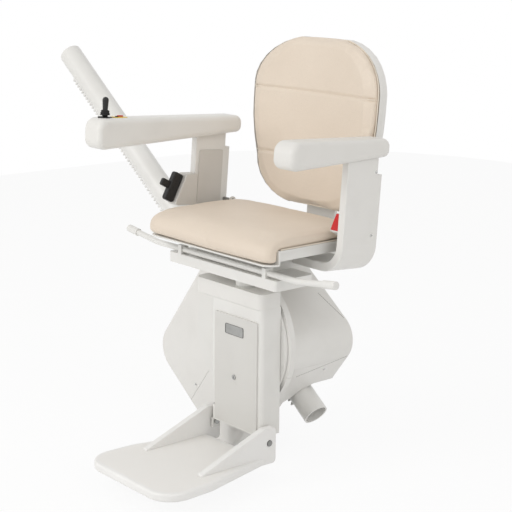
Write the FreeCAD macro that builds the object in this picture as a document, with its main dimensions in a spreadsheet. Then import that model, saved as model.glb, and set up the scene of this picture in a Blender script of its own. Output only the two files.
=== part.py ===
import FreeCAD, Part
import math
import os

# Stairlift chair on a short length of single tube rail, in millimetres.
# X is to the sitter's left and down the stairs, -Y is the way the sitter faces, +Z is up.
# The origin is the centre of the rail's lower end face, where the next rail is joined.
# Three frames are used: the level frame of the room, the slope frame, whose X runs down
# the rail and Z stands square to it, and the leaning frame of the arms and the backrest.

doc = FreeCAD.newDocument("stairlift_chair")
sheet = doc.addObject("Spreadsheet::Sheet", "dims")

SIZES = {
    # rail
    "rail_angle": 37.2, "rail_length": 1314, "rail_radius": 31, "rail_wall": 5,
    "joint_radius": 27.5, "joint_depth": 70, "rack_width": 16, "rack_base": 6,
    "tooth_module": 4, "pinion_teeth": 14, "backlash": 0.6, "mesh_gap": 1, "rack_margin": 60,
    # carriage, its covers in the slope frame about its own centre
    "station": 250, "travel_down": 50, "travel_up": 800,
    "case_uphill": 176, "case_downhill": 188, "case_below": 212, "case_above": 195,
    "case_corner": 65, "case_top_corner": 110, "case_front": 135, "case_rear": 82,
    "case_split": 58, "case_wall": 3, "case_soft": 10, "roof_drop": 42, "seam": 0.8,
    "hatch_edge": 8, "hatch_top": 129, "chassis_plate": 6, "chassis_gap": 0.5,
    "roller_radius": 18, "roller_width": 40, "roller_spread": 120, "axle_radius": 6,
    "spool_radius": 25, "spool_hub": 7, "spool_gap": 11, "spool_disc": 8,
    "running_gap": 0.05, "free_gap": 0.3, "pinion_width": 14, "pinion_shaft": 8,
    "motor_radius": 29, "motor_length": 120, "gearbox_width": 66, "gearbox_height": 84,
    "gearbox_depth": 50, "battery_length": 120, "battery_depth": 96, "battery_height": 62,
    "board_length": 110, "board_height": 64, "board_thick": 2,
    # levelling joint between carriage and post
    "pivot_x": -118, "pivot_z": 195, "disc_radius": 163, "disc_thick": 6, "ring_radius": 172,
    "ring_depth": 16, "level_shaft": 25, "level_bearing": 42, "level_teeth": 40,
    "level_module": 2.5, "level_pinion_teeth": 12, "level_gear_width": 10,
    # levelled post
    "chair_x": -65, "column_width": 184, "column_front": 200, "column_depth": 57,
    "column_base": -4, "column_top": 300, "column_wall": 3, "column_corner": 14,
    "panel_width": 151, "panel_shift": 4, "panel_thick": 4, "panel_top": 268,
    "badge_width": 64, "badge_height": 24, "badge_z": 234, "badge_shift": 0,
    "lock_radius": 6, "lock_z": 121, "collar_left": 149, "collar_right": 93,
    "collar_low": 297, "collar_high": 336, "collar_proud": 3, "collar_rear": 142.3, "web_thick": 7,
    "slot_width": 15, "slot_low": 32, "slot_high": 74,
    # footplate
    "foot_width": 318, "foot_front": 522, "foot_rear": 206, "foot_top": -45, "foot_thick": 20,
    "foot_corner": 62, "foot_hinge_y": -188, "foot_hinge_z": -14, "foot_arm_thick": 16,
    "foot_arm_reach": 388, "foot_arm_top": 24, "foot_arm_rear": 168, "foot_pin": 7, "mat_thick": 2,
    # swivel
    "swivel_y": -168, "spindle_radius": 20, "hub_radius": 25.5, "hub_low": 340,
    "plate_width": 382, "plate_front": 248, "plate_depth": 112, "plate_low": 371,
    "plate_high": 395, "frame_rail_width": 36, "frame_rail_spread": 100, "frame_rail_high": 434,
    "frame_front": 222, "frame_rear": 62, "lever_y": -237, "lever_z": 405, "lever_radius": 7,
    "lever_span": 250, "lever_reach": 369, "lever_rise": 15, "ear_thick": 12, "ear_spread": 150,
    # seat
    "seat_width": 436, "seat_front": 298, "seat_rear": -2, "pan_low": 464, "pan_thick": 5,
    "apron": 34, "apron_thick": 4, "cushion_high": 497, "nose_low": 440, "seat_edge": 14,
    "seat_corner": 44, "seat_hinge_y": -30, "seat_hinge_z": 487, "seat_pin": 5, "ear_wide": 3,
    "channel_width": 18, "channel_height": 20, "channel_spread": 202, "rest_length": 30,
    "rest_width": 26, "rest_ahead": 72,
    # arms, in the leaning frame
    "lean": 4.2, "lean_y": -60, "lean_z": 400, "bracket_half": 272, "bracket_thick": 20,
    "bracket_front": 74, "bracket_rear": 32, "bracket_bend": 62, "bracket_top": 254,
    "leg_inner": 118, "arm_pivot_z": 273, "arm_pin": 6, "arm_half": 284, "arm_width": 65.5,
    "arm_top": 299, "arm_rear": 42, "arm_left_front": 250, "arm_right_front": 382,
    "arm_front_low": 227, "arm_rear_low": 259, "knuckle_radius": 16, "slot_clear": 2,
    "arm_soft": 13,
    # backrest, in the leaning frame
    "back_low": 104, "back_high": 503, "back_half": 207, "back_foot_half": 176,
    "back_corner": 95, "back_low_corner": 105, "back_hollow": 26, "back_thick": 34,
    "back_side_y": 50, "shell_thick": 6, "shell_proud": 5, "shell_lap": 20, "seam_low": 216,
    "seam_high": 370, "seam_depth": 3, "post_width": 96, "post_thick": 8,
}


class Size:
    """A sheet size or a sum made of them: its value, and its formula for setExpression."""

    def __init__(self, value, formula):
        self.value = value
        self.formula = formula

    def __float__(self):
        return float(self.value)

    def join(self, other, sign, work, swapped=False):
        if not isinstance(other, Size):
            other = Size(float(other), f"{float(other):.6f}")
        first, second = (other, self) if swapped else (self, other)
        return Size(work(first.value, second.value), f"({first.formula} {sign} {second.formula})")

    def __add__(self, other):
        return self.join(other, "+", lambda a, b: a + b)

    def __radd__(self, other):
        return self.join(other, "+", lambda a, b: a + b, True)

    def __sub__(self, other):
        return self.join(other, "-", lambda a, b: a - b)

    def __rsub__(self, other):
        return self.join(other, "-", lambda a, b: a - b, True)

    def __mul__(self, other):
        return self.join(other, "*", lambda a, b: a * b)

    def __rmul__(self, other):
        return self.join(other, "*", lambda a, b: a * b, True)

    def __truediv__(self, other):
        return self.join(other, "/", lambda a, b: a / b)

    def __neg__(self):
        return 0 - self


for row, (name, number) in enumerate(SIZES.items(), start=1):
    sheet.set(f"A{row}", name)
    sheet.set(f"B{row}", str(number))
    sheet.setAlias(f"B{row}", name)
doc.recompute()


class Sheet:
    """Gives each cell of the sheet as a Size under its alias."""

    def __getattr__(self, name):
        return Size(float(sheet.get(name)), f"dims.{name}")


d = Sheet()

# Frames

angle = float(d.rail_angle)
slope_x = math.cos(math.radians(angle))
slope_z = math.sin(math.radians(angle))
TILT = FreeCAD.Rotation(FreeCAD.Vector(0, 1, 0), angle)
LEVEL = FreeCAD.Rotation()
LEAN = FreeCAD.Rotation(FreeCAD.Vector(1, 0, 0), -float(d.lean))
EAST = FreeCAD.Vector(1, 0, 0)
DEEP = FreeCAD.Vector(0, 1, 0)
UP = FreeCAD.Vector(0, 0, 1)

RAIL = FreeCAD.Placement(FreeCAD.Vector(0, 0, 0), TILT)
CARRIAGE = FreeCAD.Placement(TILT.multVec(FreeCAD.Vector(-float(d.station), 0, 0)), TILT)
ROOM = FreeCAD.Placement()
CHAIR = FreeCAD.Placement(FreeCAD.Vector(float(d.chair_x), 0, 0), LEVEL)
BACK = FreeCAD.Placement(FreeCAD.Vector(float(d.chair_x), float(d.lean_y), float(d.lean_z)), LEAN)

nodes = []


def keep(piece, label, frame=ROOM):
    """Name a finished sub-part, put it in its frame and list it for export."""
    piece.Label = label
    piece.Placement = frame.multiply(piece.Placement)
    nodes.append(piece)
    return piece


# Shape helpers

def box(name, low, size):
    """A box from its low corner and its size, all Sizes or numbers."""
    piece = doc.addObject("Part::Box", name)
    for side, length in zip(("Length", "Width", "Height"), size):
        piece.setExpression(side, length.formula if isinstance(length, Size) else str(length))
    piece.Placement.Base = FreeCAD.Vector(*map(float, low))
    return piece


def rod(name, radius, length, start, axis=UP):
    """A round bar from its start point along an axis."""
    piece = doc.addObject("Part::Cylinder", name)
    piece.setExpression("Radius", radius.formula if isinstance(radius, Size) else str(radius))
    piece.setExpression("Height", length.formula if isinstance(length, Size) else str(length))
    turn = FreeCAD.Rotation(UP, axis)
    piece.Placement = FreeCAD.Placement(FreeCAD.Vector(*map(float, start)), turn)
    return piece


def ball(name, radius, middle):
    """A sphere."""
    piece = doc.addObject("Part::Sphere", name)
    piece.setExpression("Radius", radius.formula if isinstance(radius, Size) else str(radius))
    piece.Placement.Base = FreeCAD.Vector(*map(float, middle))
    return piece


def cone(name, low, high, height, start):
    """An upright cone from its low radius to its high one."""
    piece = doc.addObject("Part::Cone", name)
    for side, value in (("Radius1", low), ("Radius2", high), ("Height", height)):
        piece.setExpression(side, value.formula if isinstance(value, Size) else str(value))
    piece.Placement.Base = FreeCAD.Vector(*map(float, start))
    return piece


def cut(name, base, *tools):
    """The base with each tool taken away."""
    tool = tools[0] if len(tools) == 1 else join(name + "_tools", *tools)
    piece = doc.addObject("Part::Cut", name)
    piece.Base = base
    piece.Tool = tool
    return piece


def join(name, *pieces):
    """Pieces fused to one shape."""
    piece = doc.addObject("Part::MultiFuse", name)
    piece.Shapes = list(pieces)
    piece.Refine = True
    return piece


def group(name, *pieces):
    """Separate solids kept in one node."""
    piece = doc.addObject("Part::Compound", name)
    piece.Links = list(pieces)
    return piece


def common(name, base, tool):
    """What two shapes share."""
    piece = doc.addObject("Part::Common", name)
    piece.Base = base
    piece.Tool = tool
    return piece


def rounded_edges(corners):
    """Lines and arcs of a closed outline whose corners are (x, y, radius)."""
    count = len(corners)
    spots = [FreeCAD.Vector(float(x), float(y), 0) for x, y, _ in corners]
    ends = []
    arcs = []
    for index, (_, _, radius) in enumerate(corners):
        radius = float(radius)
        here = spots[index]
        back = (spots[index - 1] - here).normalize()
        ahead = (spots[(index + 1) % count] - here).normalize()
        half = back.getAngle(ahead) / 2
        if radius <= 0:
            ends.append((here, here))
            arcs.append(None)
            continue
        reach = radius / math.tan(half)
        middle = here + (back + ahead).normalize() * (radius / math.sin(half))
        first = here + back * reach
        last = here + ahead * reach
        inner = middle + (here - middle).normalize() * radius
        ends.append((first, last))
        arcs.append(Part.Arc(first, inner, last))
    edges = []
    for index in range(count):
        if arcs[index] is not None:
            edges.append(arcs[index])
        start = ends[index][1]
        stop = ends[(index + 1) % count][0]
        if start.distanceToPoint(stop) > 1e-6:
            edges.append(Part.LineSegment(start, stop))
    return edges


PLANES = {
    "XY": ("XY_Plane", FreeCAD.Vector(0, 0, 1)),
    "XZ": ("XZ_Plane", FreeCAD.Vector(0, 1, 0)),
    "YZ": ("YZ_Plane", FreeCAD.Vector(1, 0, 0)),
}


def slab(name, plane, corners, thick, start, holes=(), soft=None, soft_side="front"):
    """A body padded from an outline on one of its origin planes.

    The pad grows along +Z, +Y or +X of the body from the start distance. Holes are
    (x, y, radius) rounds or further outlines. The edges of the side called front, the low
    one, back, the high one, or both are rounded by the radius soft.
    """
    body = doc.addObject("PartDesign::Body", name)
    role, direction = PLANES[plane]
    origin = next(part for part in body.Origin.OriginFeatures if part.Role == role)
    sketch = body.newObject("Sketcher::SketchObject", name + "_outline")
    sketch.AttachmentSupport = (origin, [""])
    sketch.MapMode = "FlatFace"
    for edge in rounded_edges(corners):
        sketch.addGeometry(edge, False)
    for hole in holes:
        if isinstance(hole, list):
            for edge in rounded_edges(hole):
                sketch.addGeometry(edge, False)
        else:
            middle = FreeCAD.Vector(float(hole[0]), float(hole[1]), 0)
            sketch.addGeometry(Part.Circle(middle, UP, float(hole[2])), False)
    pad = body.newObject("PartDesign::Pad", name + "_pad")
    pad.Profile = sketch
    pad.setExpression("Length", thick.formula if isinstance(thick, Size) else str(thick))
    pad.Reversed = plane == "XZ"
    body.Placement.Base = direction * float(start)
    if soft is not None:
        doc.recompute()
        body.Tip = pad
        levels = {"front": [0.0], "back": [float(thick)], "both": [0.0, float(thick)]}[soft_side]
        names = []
        for index, edge in enumerate(pad.Shape.Edges, start=1):
            spread = [point.Point.dot(direction) for point in edge.Vertexes]
            if any(max(abs(value - level) for value in spread) < 1e-4 for level in levels):
                names.append(f"Edge{index}")
        fillet = body.newObject("PartDesign::Fillet", name + "_soft")
        fillet.Base = (pad, names)
        fillet.setExpression("Radius", soft.formula if isinstance(soft, Size) else str(soft))
        body.Tip = fillet
    return body


def rectangle(left, low, right, high, radius=0):
    """The corners of an upright rectangle, all with one radius."""
    return [(left, low, radius), (right, low, radius), (right, high, radius), (left, high, radius)]


def feature(name, shape):
    """A sub-part whose shape is made with the shape functions."""
    piece = doc.addObject("Part::Feature", name)
    piece.Shape = shape
    return piece


def gear(name, module, teeth, width, bore, start, phase=0.0):
    """A spur gear on a Y axis: straight flanked teeth, thinned by half the backlash."""
    module = float(module)
    teeth = int(float(teeth))
    pitch = module * teeth / 2
    tip = pitch + module
    root = pitch - 1.25 * module
    half_tooth = math.pi * module / 4 - float(d.backlash) / 2
    slant = math.tan(math.radians(20)) * module
    points = []
    for index in range(teeth):
        middle = phase + 2 * math.pi * index / teeth
        for radius, half in ((root, half_tooth + 0.7 * slant), (pitch, half_tooth),
                             (tip, half_tooth - slant)):
            points.append((radius, middle - half / pitch))
        for radius, half in ((tip, half_tooth - slant), (pitch, half_tooth),
                             (root, half_tooth + 0.7 * slant)):
            points.append((radius, middle + half / pitch))
    corners = [(r * math.cos(a), r * math.sin(a), 0) for r, a in points]
    return slab(name, "XZ", corners, width, start, holes=[(0, 0, bore)])


# Rail: a plain tube with a counterbore for the joiner at each end and a rack underneath

def make_rail():
    """Tube and rack, lying along -X of the slope frame."""
    length = d.rail_length
    uphill = -length
    tube = rod("tube_outer", d.rail_radius, length, (uphill, 0, 0), EAST)
    bore = rod("tube_bore", d.rail_radius - d.rail_wall, length, (uphill, 0, 0), EAST)
    low_joint = rod("low_joint", d.joint_radius, d.joint_depth, (-d.joint_depth, 0, 0), EAST)
    high_joint = rod("high_joint", d.joint_radius, d.joint_depth, (uphill, 0, 0), EAST)
    keep(cut("rail_cut", tube, bore, low_joint, high_joint), "rail_tube", RAIL)

    pitch = math.pi * float(d.tooth_module)
    module = float(d.tooth_module)
    top = -(float(d.rail_radius) - 0.8)
    root = -(float(d.rail_radius) + float(d.rack_base))
    line = root - 1.25 * module
    tip = line - module
    half = pitch / 4 - float(d.backlash) / 2
    slant = math.tan(math.radians(20)) * module
    first = -float(d.station)
    count = int((float(length) - 2 * float(d.rack_margin)) / pitch)
    below = int((float(d.station) - float(d.rack_margin)) / pitch - 0.5)
    corners = [(first + (below + 1) * pitch, top, 0)]
    for index in range(count):
        middle = first + (below - index + 0.5) * pitch
        corners += [(middle + half + 1.25 * slant, root, 0), (middle + half - slant, tip, 0),
                    (middle - half + slant, tip, 0), (middle - half - 1.25 * slant, root, 0)]
    low_end = first + (below + 1) * pitch
    high_end = first + (below - count) * pitch
    corners.insert(1, (low_end, root, 0))
    corners += [(high_end, root, 0), (high_end, top, 0)]
    bar = slab("rack_bar", "XZ", corners, d.rack_width, -d.rack_width / 2)
    seat = rod("rack_seat", d.rail_radius, length, (uphill, 0, 0), EAST)
    keep(cut("rack_cut", bar, seat), "rail_rack", RAIL)


# Carriage covers: a rounded square in front of the rail and a roof over it

def case_outline(inset=0.0):
    """Outline of the covers' front, drawn in from the outside by the inset."""
    left = -d.case_uphill + inset
    right = d.case_downhill - inset
    low = -d.case_below + inset
    high = d.case_above - inset
    corner = d.case_corner - inset
    return [(left, low, corner), (right, low, corner), (right, high, corner),
            (left, high, d.case_top_corner - inset)]


def roof_outline(inset=0.0, drop=0.0):
    """Outline of the part that reaches back over the rail."""
    left = -d.case_uphill + inset
    right = d.case_downhill - inset
    high = d.case_above - inset
    corner = d.case_corner - inset
    return [(left, d.roof_drop - drop, 0), (right, d.roof_drop - drop, 0),
            (right, high, corner), (left, high, d.case_top_corner - inset)]


def pivot_spot():
    """The levelling axis in the carriage's own frame."""
    room = FreeCAD.Vector(float(d.pivot_x), 0, float(d.pivot_z))
    return CARRIAGE.inverse().multVec(room)


def make_covers():
    """Main cover, downhill cover and the ring that the post turns against."""
    wall = d.case_wall
    front_depth = d.case_front - d.case_split
    rear_depth = d.case_split + d.case_rear
    shell_out = slab("case_front_out", "XZ", case_outline(), front_depth, -d.case_front,
                     soft=d.case_soft)
    roof_out = slab("case_roof_out", "XZ", roof_outline(), rear_depth, -d.case_split,
                    soft=d.case_soft, soft_side="back")
    shell_in = slab("case_front_in", "XZ", case_outline(wall), front_depth, wall - d.case_front)
    roof_in = slab("case_roof_in", "XZ", roof_outline(wall, drop=wall), rear_depth - wall,
                   -d.case_split)
    axis = pivot_spot()
    ring_out = rod("case_ring", d.ring_radius, d.ring_depth,
                   (axis.x, -d.case_front, axis.z), DEEP)
    ring_in = rod("case_ring_in", d.ring_radius - wall, d.ring_depth - 2 * wall,
                  (axis.x, wall - d.case_front, axis.z), DEEP)
    shaft_way = rod("shaft_way", d.level_shaft + 1, d.ring_depth,
                    (axis.x, -d.case_front - 1, axis.z), DEEP)
    clear = d.rail_radius + wall
    gusset = [(-d.case_split, d.roof_drop + wall, 0), (-d.case_split, -clear / 3, 0),
              (-clear * 1.05, clear * 0.18, 0), (-clear * 0.71, clear * 0.74, 0),
              (-clear * 0.06, clear * 1.06, 0), (clear * 0.65, d.roof_drop + wall, 0)]
    gusset_low = slab("gusset_low", "YZ", gusset, wall, d.case_downhill - wall)
    gusset_high = slab("gusset_high", "YZ", gusset, wall, -d.case_uphill)
    outer = join("case_outer", shell_out, roof_out, ring_out)
    inner = join("case_inner", shell_in, roof_in, ring_in, shaft_way)
    shell = cut("case_shell", outer, inner)
    shell = join("case_whole", shell, gusset_low, gusset_high)
    deep = d.case_front + d.case_rear + 40
    corner = box("hatch_room", (d.hatch_edge, -d.case_front - 20, -d.case_below - 20),
                 (d.case_downhill + 20, deep, d.case_below + d.hatch_top + 20))
    inside = box("hatch_piece_room",
                 (d.hatch_edge + d.seam, -d.case_front - 20, -d.case_below - 20),
                 (d.case_downhill + 20, deep, d.case_below + d.hatch_top + 20 - d.seam))
    keep(cut("main_cover_cut", shell, corner), "main_cover", CARRIAGE)
    keep(common("downhill_cover_cut", shell, inside), "downhill_cover", CARRIAGE)


def make_chassis():
    """Steel plate behind the covers with the shelf over the rail."""
    inset = d.case_wall + d.chassis_gap
    face = -d.case_split - d.chassis_plate
    axis = pivot_spot()
    pinion_z = pinion_level()
    spread = d.roller_spread
    holes = [(axis.x, axis.z, d.level_shaft + d.running_gap), (0, pinion_z, d.pinion_shaft + 0.05)]
    for side in (-1, 1):
        holes.append((side * spread, top_roller_level(), d.axle_radius))
        holes.append((side * spread, spool_level(), d.axle_radius))
    plate = slab("chassis_face", "XZ", case_outline(inset), d.chassis_plate, face, holes=holes)
    shelf_low = d.roof_drop + d.case_wall + 28
    shelf = slab("shelf", "XZ", rectangle(-d.case_uphill + 8, shelf_low, d.case_downhill - 8,
                                          shelf_low + d.chassis_plate),
                 d.case_split + d.case_rear - 5, -d.case_split)
    keep(join("chassis_whole", plate, shelf), "chassis_plate", CARRIAGE)
    return shelf_low + d.chassis_plate


def top_roller_level():
    return d.rail_radius + d.free_gap + d.roller_radius


def spool_level():
    """Centre of a spool whose discs run beside the rack."""
    contact = math.sqrt(float(d.rail_radius) ** 2 - float(d.spool_gap) ** 2)
    return -(d.spool_radius + d.free_gap + contact)


def pinion_level():
    """Centre of the drive pinion, in mesh with the rack."""
    return -(d.rail_radius + d.rack_base + 1.25 * d.tooth_module
             + d.tooth_module * d.pinion_teeth / 2)


def make_running_gear():
    """Rollers over the rail, spools under it, their axles, and the drive pinion."""
    axles = []
    axle_start = -d.case_split - d.chassis_plate
    reach = d.roller_width / 2 - axle_start + 4
    for side, word in ((-1, "uphill"), (1, "downhill")):
        u = side * d.roller_spread
        level = top_roller_level()
        wheel = rod(f"{word}_wheel", d.roller_radius, d.roller_width,
                    (u, -d.roller_width / 2, level), DEEP)
        eye = rod(f"{word}_wheel_eye", d.axle_radius + d.running_gap, d.roller_width,
                  (u, -d.roller_width / 2, level), DEEP)
        keep(cut(f"{word}_roller_cut", wheel, eye), f"{word}_top_roller", CARRIAGE)
        axles.append(rod(f"{word}_top_axle", d.axle_radius, reach, (u, axle_start, level), DEEP))
        level = spool_level()
        near = d.spool_gap
        far = d.spool_gap + d.spool_disc
        core = rod(f"{word}_core", d.spool_hub + 1, far * 2, (u, -far, level), DEEP)
        discs = [rod(f"{word}_disc_{number}", d.spool_radius, d.spool_disc, (u, place, level),
                     DEEP) for number, place in enumerate((-far, near))]
        body = join(f"{word}_spool_body", core, *discs)
        eye = rod(f"{word}_spool_eye", d.axle_radius + d.running_gap, far * 2,
                  (u, -far, level), DEEP)
        keep(cut(f"{word}_spool_cut", body, eye), f"{word}_lower_spool", CARRIAGE)
        axles.append(rod(f"{word}_low_axle", d.axle_radius, reach, (u, axle_start, level), DEEP))
    keep(group("axles", *axles), "roller_axles", CARRIAGE)

    level = pinion_level()
    width = d.pinion_width
    wheel = gear("pinion_wheel", d.tooth_module, d.pinion_teeth, width, d.pinion_shaft - 0.5,
                 -width / 2, phase=math.pi / 2)
    wheel.Placement.Base.z = float(level)
    start = -d.case_split - d.chassis_plate + d.free_gap
    shaft = rod("pinion_bar", d.pinion_shaft, width / 2 + 4 - start, (0, start, level), DEEP)
    keep(join("pinion_whole", wheel, shaft), "drive_pinion", CARRIAGE)


def make_drive(shelf_top):
    """Motor, gearbox, batteries, control board and levelling motor inside the covers."""
    level = pinion_level()
    plate = -d.case_split - d.chassis_plate
    gearbox = box("gearbox_block", (-d.gearbox_width / 2, plate - d.gearbox_depth,
                                    level - d.gearbox_height / 2),
                  (d.gearbox_width, d.gearbox_depth, d.gearbox_height))
    keep(gearbox, "gearbox", CARRIAGE)
    middle = plate - d.gearbox_depth / 2 - 4
    motor = rod("motor_can", d.motor_radius - 5, d.motor_length,
                (d.gearbox_width / 2, middle, level), EAST)
    keep(motor, "drive_motor", CARRIAGE)
    packs = []
    for number, left in enumerate((-d.battery_length - 4, 12)):
        packs.append(box(f"pack_{number}", (left, plate + 22, shelf_top),
                         (d.battery_length, d.battery_depth, d.battery_height)))
    keep(group("packs", *packs), "batteries", CARRIAGE)
    left = -d.case_uphill + 40
    board = box("board_plate", (left, plate - d.board_thick - 6, -60),
                (d.board_height, d.board_thick, d.board_length))
    posts = [rod(f"board_post_{number}", 3, 6, (left + x, plate - 6, z - 60), DEEP)
             for number, (x, z) in enumerate(((8, 8), (56, 8), (8, 102), (56, 102)))]
    chips = [box(f"chip_{number}", (left + x, plate - d.board_thick - 14, z - 60), (16, 8, 22))
             for number, (x, z) in enumerate(((10, 18), (36, 18), (22, 66)))]
    keep(join("board_whole", board, *posts, *chips), "control_board", CARRIAGE)


def level_gap():
    """Distance between the axes of the levelling gear and its pinion."""
    return d.level_module * (d.level_teeth + d.level_pinion_teeth) / 2


def make_levelling():
    """Bearing, gear, disc and pinion that keep the post upright."""
    axis = pivot_spot()
    plate = -d.case_split - d.chassis_plate
    ring = rod("bearing_ring", d.level_bearing, 8, (axis.x, plate - 8, axis.z), DEEP)
    eye = rod("bearing_eye", d.level_shaft + d.running_gap, 8, (axis.x, plate - 8, axis.z), DEEP)
    keep(cut("bearing_cut", ring, eye), "levelling_bearing", CARRIAGE)
    width = d.level_gear_width
    start = plate - 22
    wheel = gear("level_wheel", d.level_module, d.level_teeth, width,
                 d.level_shaft + d.running_gap, start)
    wheel.Placement.Base.x = axis.x
    wheel.Placement.Base.z = axis.z
    keep(wheel, "levelling_gear", CARRIAGE)
    shaft_start = -d.case_front - d.disc_thick - 1
    shaft = rod("level_shaft_bar", d.level_shaft,
                plate + d.chassis_plate - shaft_start - d.disc_thick,
                (axis.x, shaft_start + d.disc_thick, axis.z), DEEP)
    disc = rod("level_disc_plate", d.disc_radius, d.disc_thick, (axis.x, shaft_start, axis.z),
               DEEP)
    keep(join("level_disc_whole", disc, shaft), "levelling_disc", CARRIAGE)
    side = axis.x - level_gap()
    small = gear("small_wheel", d.level_module, d.level_pinion_teeth, width, 3, start,
                 phase=math.pi / float(d.level_pinion_teeth))
    small.Placement.Base.x = float(side)
    small.Placement.Base.z = axis.z
    flange = start - 8
    bar = rod("small_bar", 4, plate - flange - 2 * d.free_gap, (side, flange + d.free_gap, axis.z),
              DEEP)
    keep(join("small_whole", small, bar), "levelling_pinion", CARRIAGE)
    can = rod("level_motor_can", 20, 26, (side, flange - 26, axis.z), DEEP)
    face = box("level_motor_face", (side - 22, flange, axis.z - 30), (32, 4, 60))
    way = rod("level_motor_way", 4 + d.free_gap, 4, (side, flange, axis.z), DEEP)
    posts = [rod(f"level_motor_post_{number}", 4, plate - flange - 4,
                 (side - 14, flange + 4, axis.z + shift), DEEP)
             for number, shift in enumerate((-24, 24))]
    keep(join("level_motor_whole", can, cut("level_motor_cut", face, way), *posts),
         "levelling_motor", CARRIAGE)


# Levelled post: column, its front panel, the collar and the swivel spindle

def make_column():
    """Hollow column, open towards the carriage, with its panel, badge place and lock."""
    half = d.column_width / 2
    corner = d.column_corner
    wall = d.column_wall
    top = d.column_top
    outline = [(-half, 0, corner), (half, 0, corner), (half, d.column_depth, 0),
               (-half, d.column_depth, 0)]
    room = [(wall - half, wall, corner - wall), (half - wall, wall, corner - wall),
            (half - wall, d.column_depth + 1, 0), (wall - half, d.column_depth + 1, 0)]
    height = top - d.column_base
    outer = slab("column_out", "XY", outline, height, d.column_base)
    inner = slab("column_in", "XY", room, height - 2 * wall, d.column_base + wall)
    slot = box("column_slot", (-half - 2, -2, d.slot_low),
               (d.slot_width + 2, d.column_corner + 6, d.slot_high - d.slot_low))
    lug_low = d.foot_hinge_z - 14
    lug_y = d.foot_hinge_y + d.column_front
    lugs = [box(f"{word}_lug", (x, lug_y - 11, lug_low), (6, 22, d.column_base - lug_low))
            for word, x in (("right", -half + 2), ("left", half - 8))]
    ways = [rod(f"{word}_lug_way", d.foot_pin, 12, (x, lug_y, d.foot_hinge_z), EAST)
            for word, x in (("right", -half - 1), ("left", half - 11))]
    shell = cut("column_cut", join("column_lugs", outer, *lugs), inner, slot, *ways)
    seat = FreeCAD.Placement(FreeCAD.Vector(float(d.chair_x), -float(d.column_front), 0), LEVEL)
    keep(shell, "column_shell", seat)

    left = -d.panel_width / 2 + d.panel_shift
    right = d.panel_width / 2 + d.panel_shift
    badge = rectangle(d.badge_shift - d.badge_width / 2, d.badge_z - d.badge_height / 2,
                      d.badge_shift + d.badge_width / 2, d.badge_z + d.badge_height / 2, 2.5)
    panel = slab("panel_sheet", "XZ", rectangle(left, 2, right, d.panel_top, 3), d.panel_thick,
                 -d.panel_thick, holes=[badge, (0, d.lock_z, d.lock_radius + d.running_gap)])
    keep(panel, "front_panel", seat)
    inset = 0.3
    plate = rectangle(d.badge_shift - d.badge_width / 2 + inset,
                      d.badge_z - d.badge_height / 2 + inset,
                      d.badge_shift + d.badge_width / 2 - inset,
                      d.badge_z + d.badge_height / 2 - inset, 2.2)
    keep(slab("badge_sheet", "XZ", plate, d.panel_thick + 0.6, -d.panel_thick - 0.6),
         "blank_badge", seat)
    barrel = rod("lock_barrel", d.lock_radius, d.panel_thick + 2,
                 (0, -d.panel_thick - 2, d.lock_z), DEEP)
    way = box("lock_way", (-0.8, -d.panel_thick - 3, d.lock_z - 3.5), (1.6, 3, 7))
    keep(cut("lock_cut", barrel, way), "panel_lock", seat)


def make_collar():
    """Wide collar that closes the column's top and carries the spindle."""
    left = -d.collar_left
    right = d.collar_right
    front = -(d.column_front + d.collar_proud)
    outline = [(left, front, 18), (right, front, 18), (right, -d.collar_rear, 6),
               (left, -d.collar_rear, 6)]
    height = d.collar_high - d.collar_low
    block = slab("collar_block", "XY", outline, height, d.collar_low, soft=5)
    half = d.column_width / 2
    pocket = box("collar_pocket", (-half - d.free_gap, -d.column_front - d.free_gap,
                                   d.collar_low - 1),
                 (d.column_width + 2 * d.free_gap, d.column_depth + 2 * d.free_gap,
                  d.column_top - d.collar_low + 1))
    way = rod("collar_way", d.spindle_radius, height, (0, d.swivel_y, d.collar_low))
    keep(cut("collar_cut", block, pocket, way), "column_collar", CHAIR)
    start = d.column_top
    spindle = rod("spindle_bar", d.spindle_radius, d.plate_high - 4 - start,
                  (0, d.swivel_y, start))
    keep(spindle, "swivel_spindle", CHAIR)
    ring = rod("swivel_ring", d.hub_radius, d.hub_low - d.free_gap - d.collar_high,
               (0, d.swivel_y, d.collar_high))
    ring_way = rod("swivel_ring_way", d.spindle_radius, d.hub_low - d.collar_high,
                   (0, d.swivel_y, d.collar_high))
    keep(cut("swivel_ring_cut", ring, ring_way), "swivel_bearing", CHAIR)
    back = -(d.case_front + 1)
    web = box("post_web", (d.column_wall + d.free_gap - half, back - d.disc_thick - d.web_thick,
                           d.column_base + d.column_wall + d.free_gap),
              (d.column_width - 2 * (d.column_wall + d.free_gap), d.web_thick,
               d.column_top - d.column_base - 2 * (d.column_wall + d.free_gap)))
    keep(web, "post_backbone", CHAIR)


# Footplate: a tongue with raised side arms that folds up against the column

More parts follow.
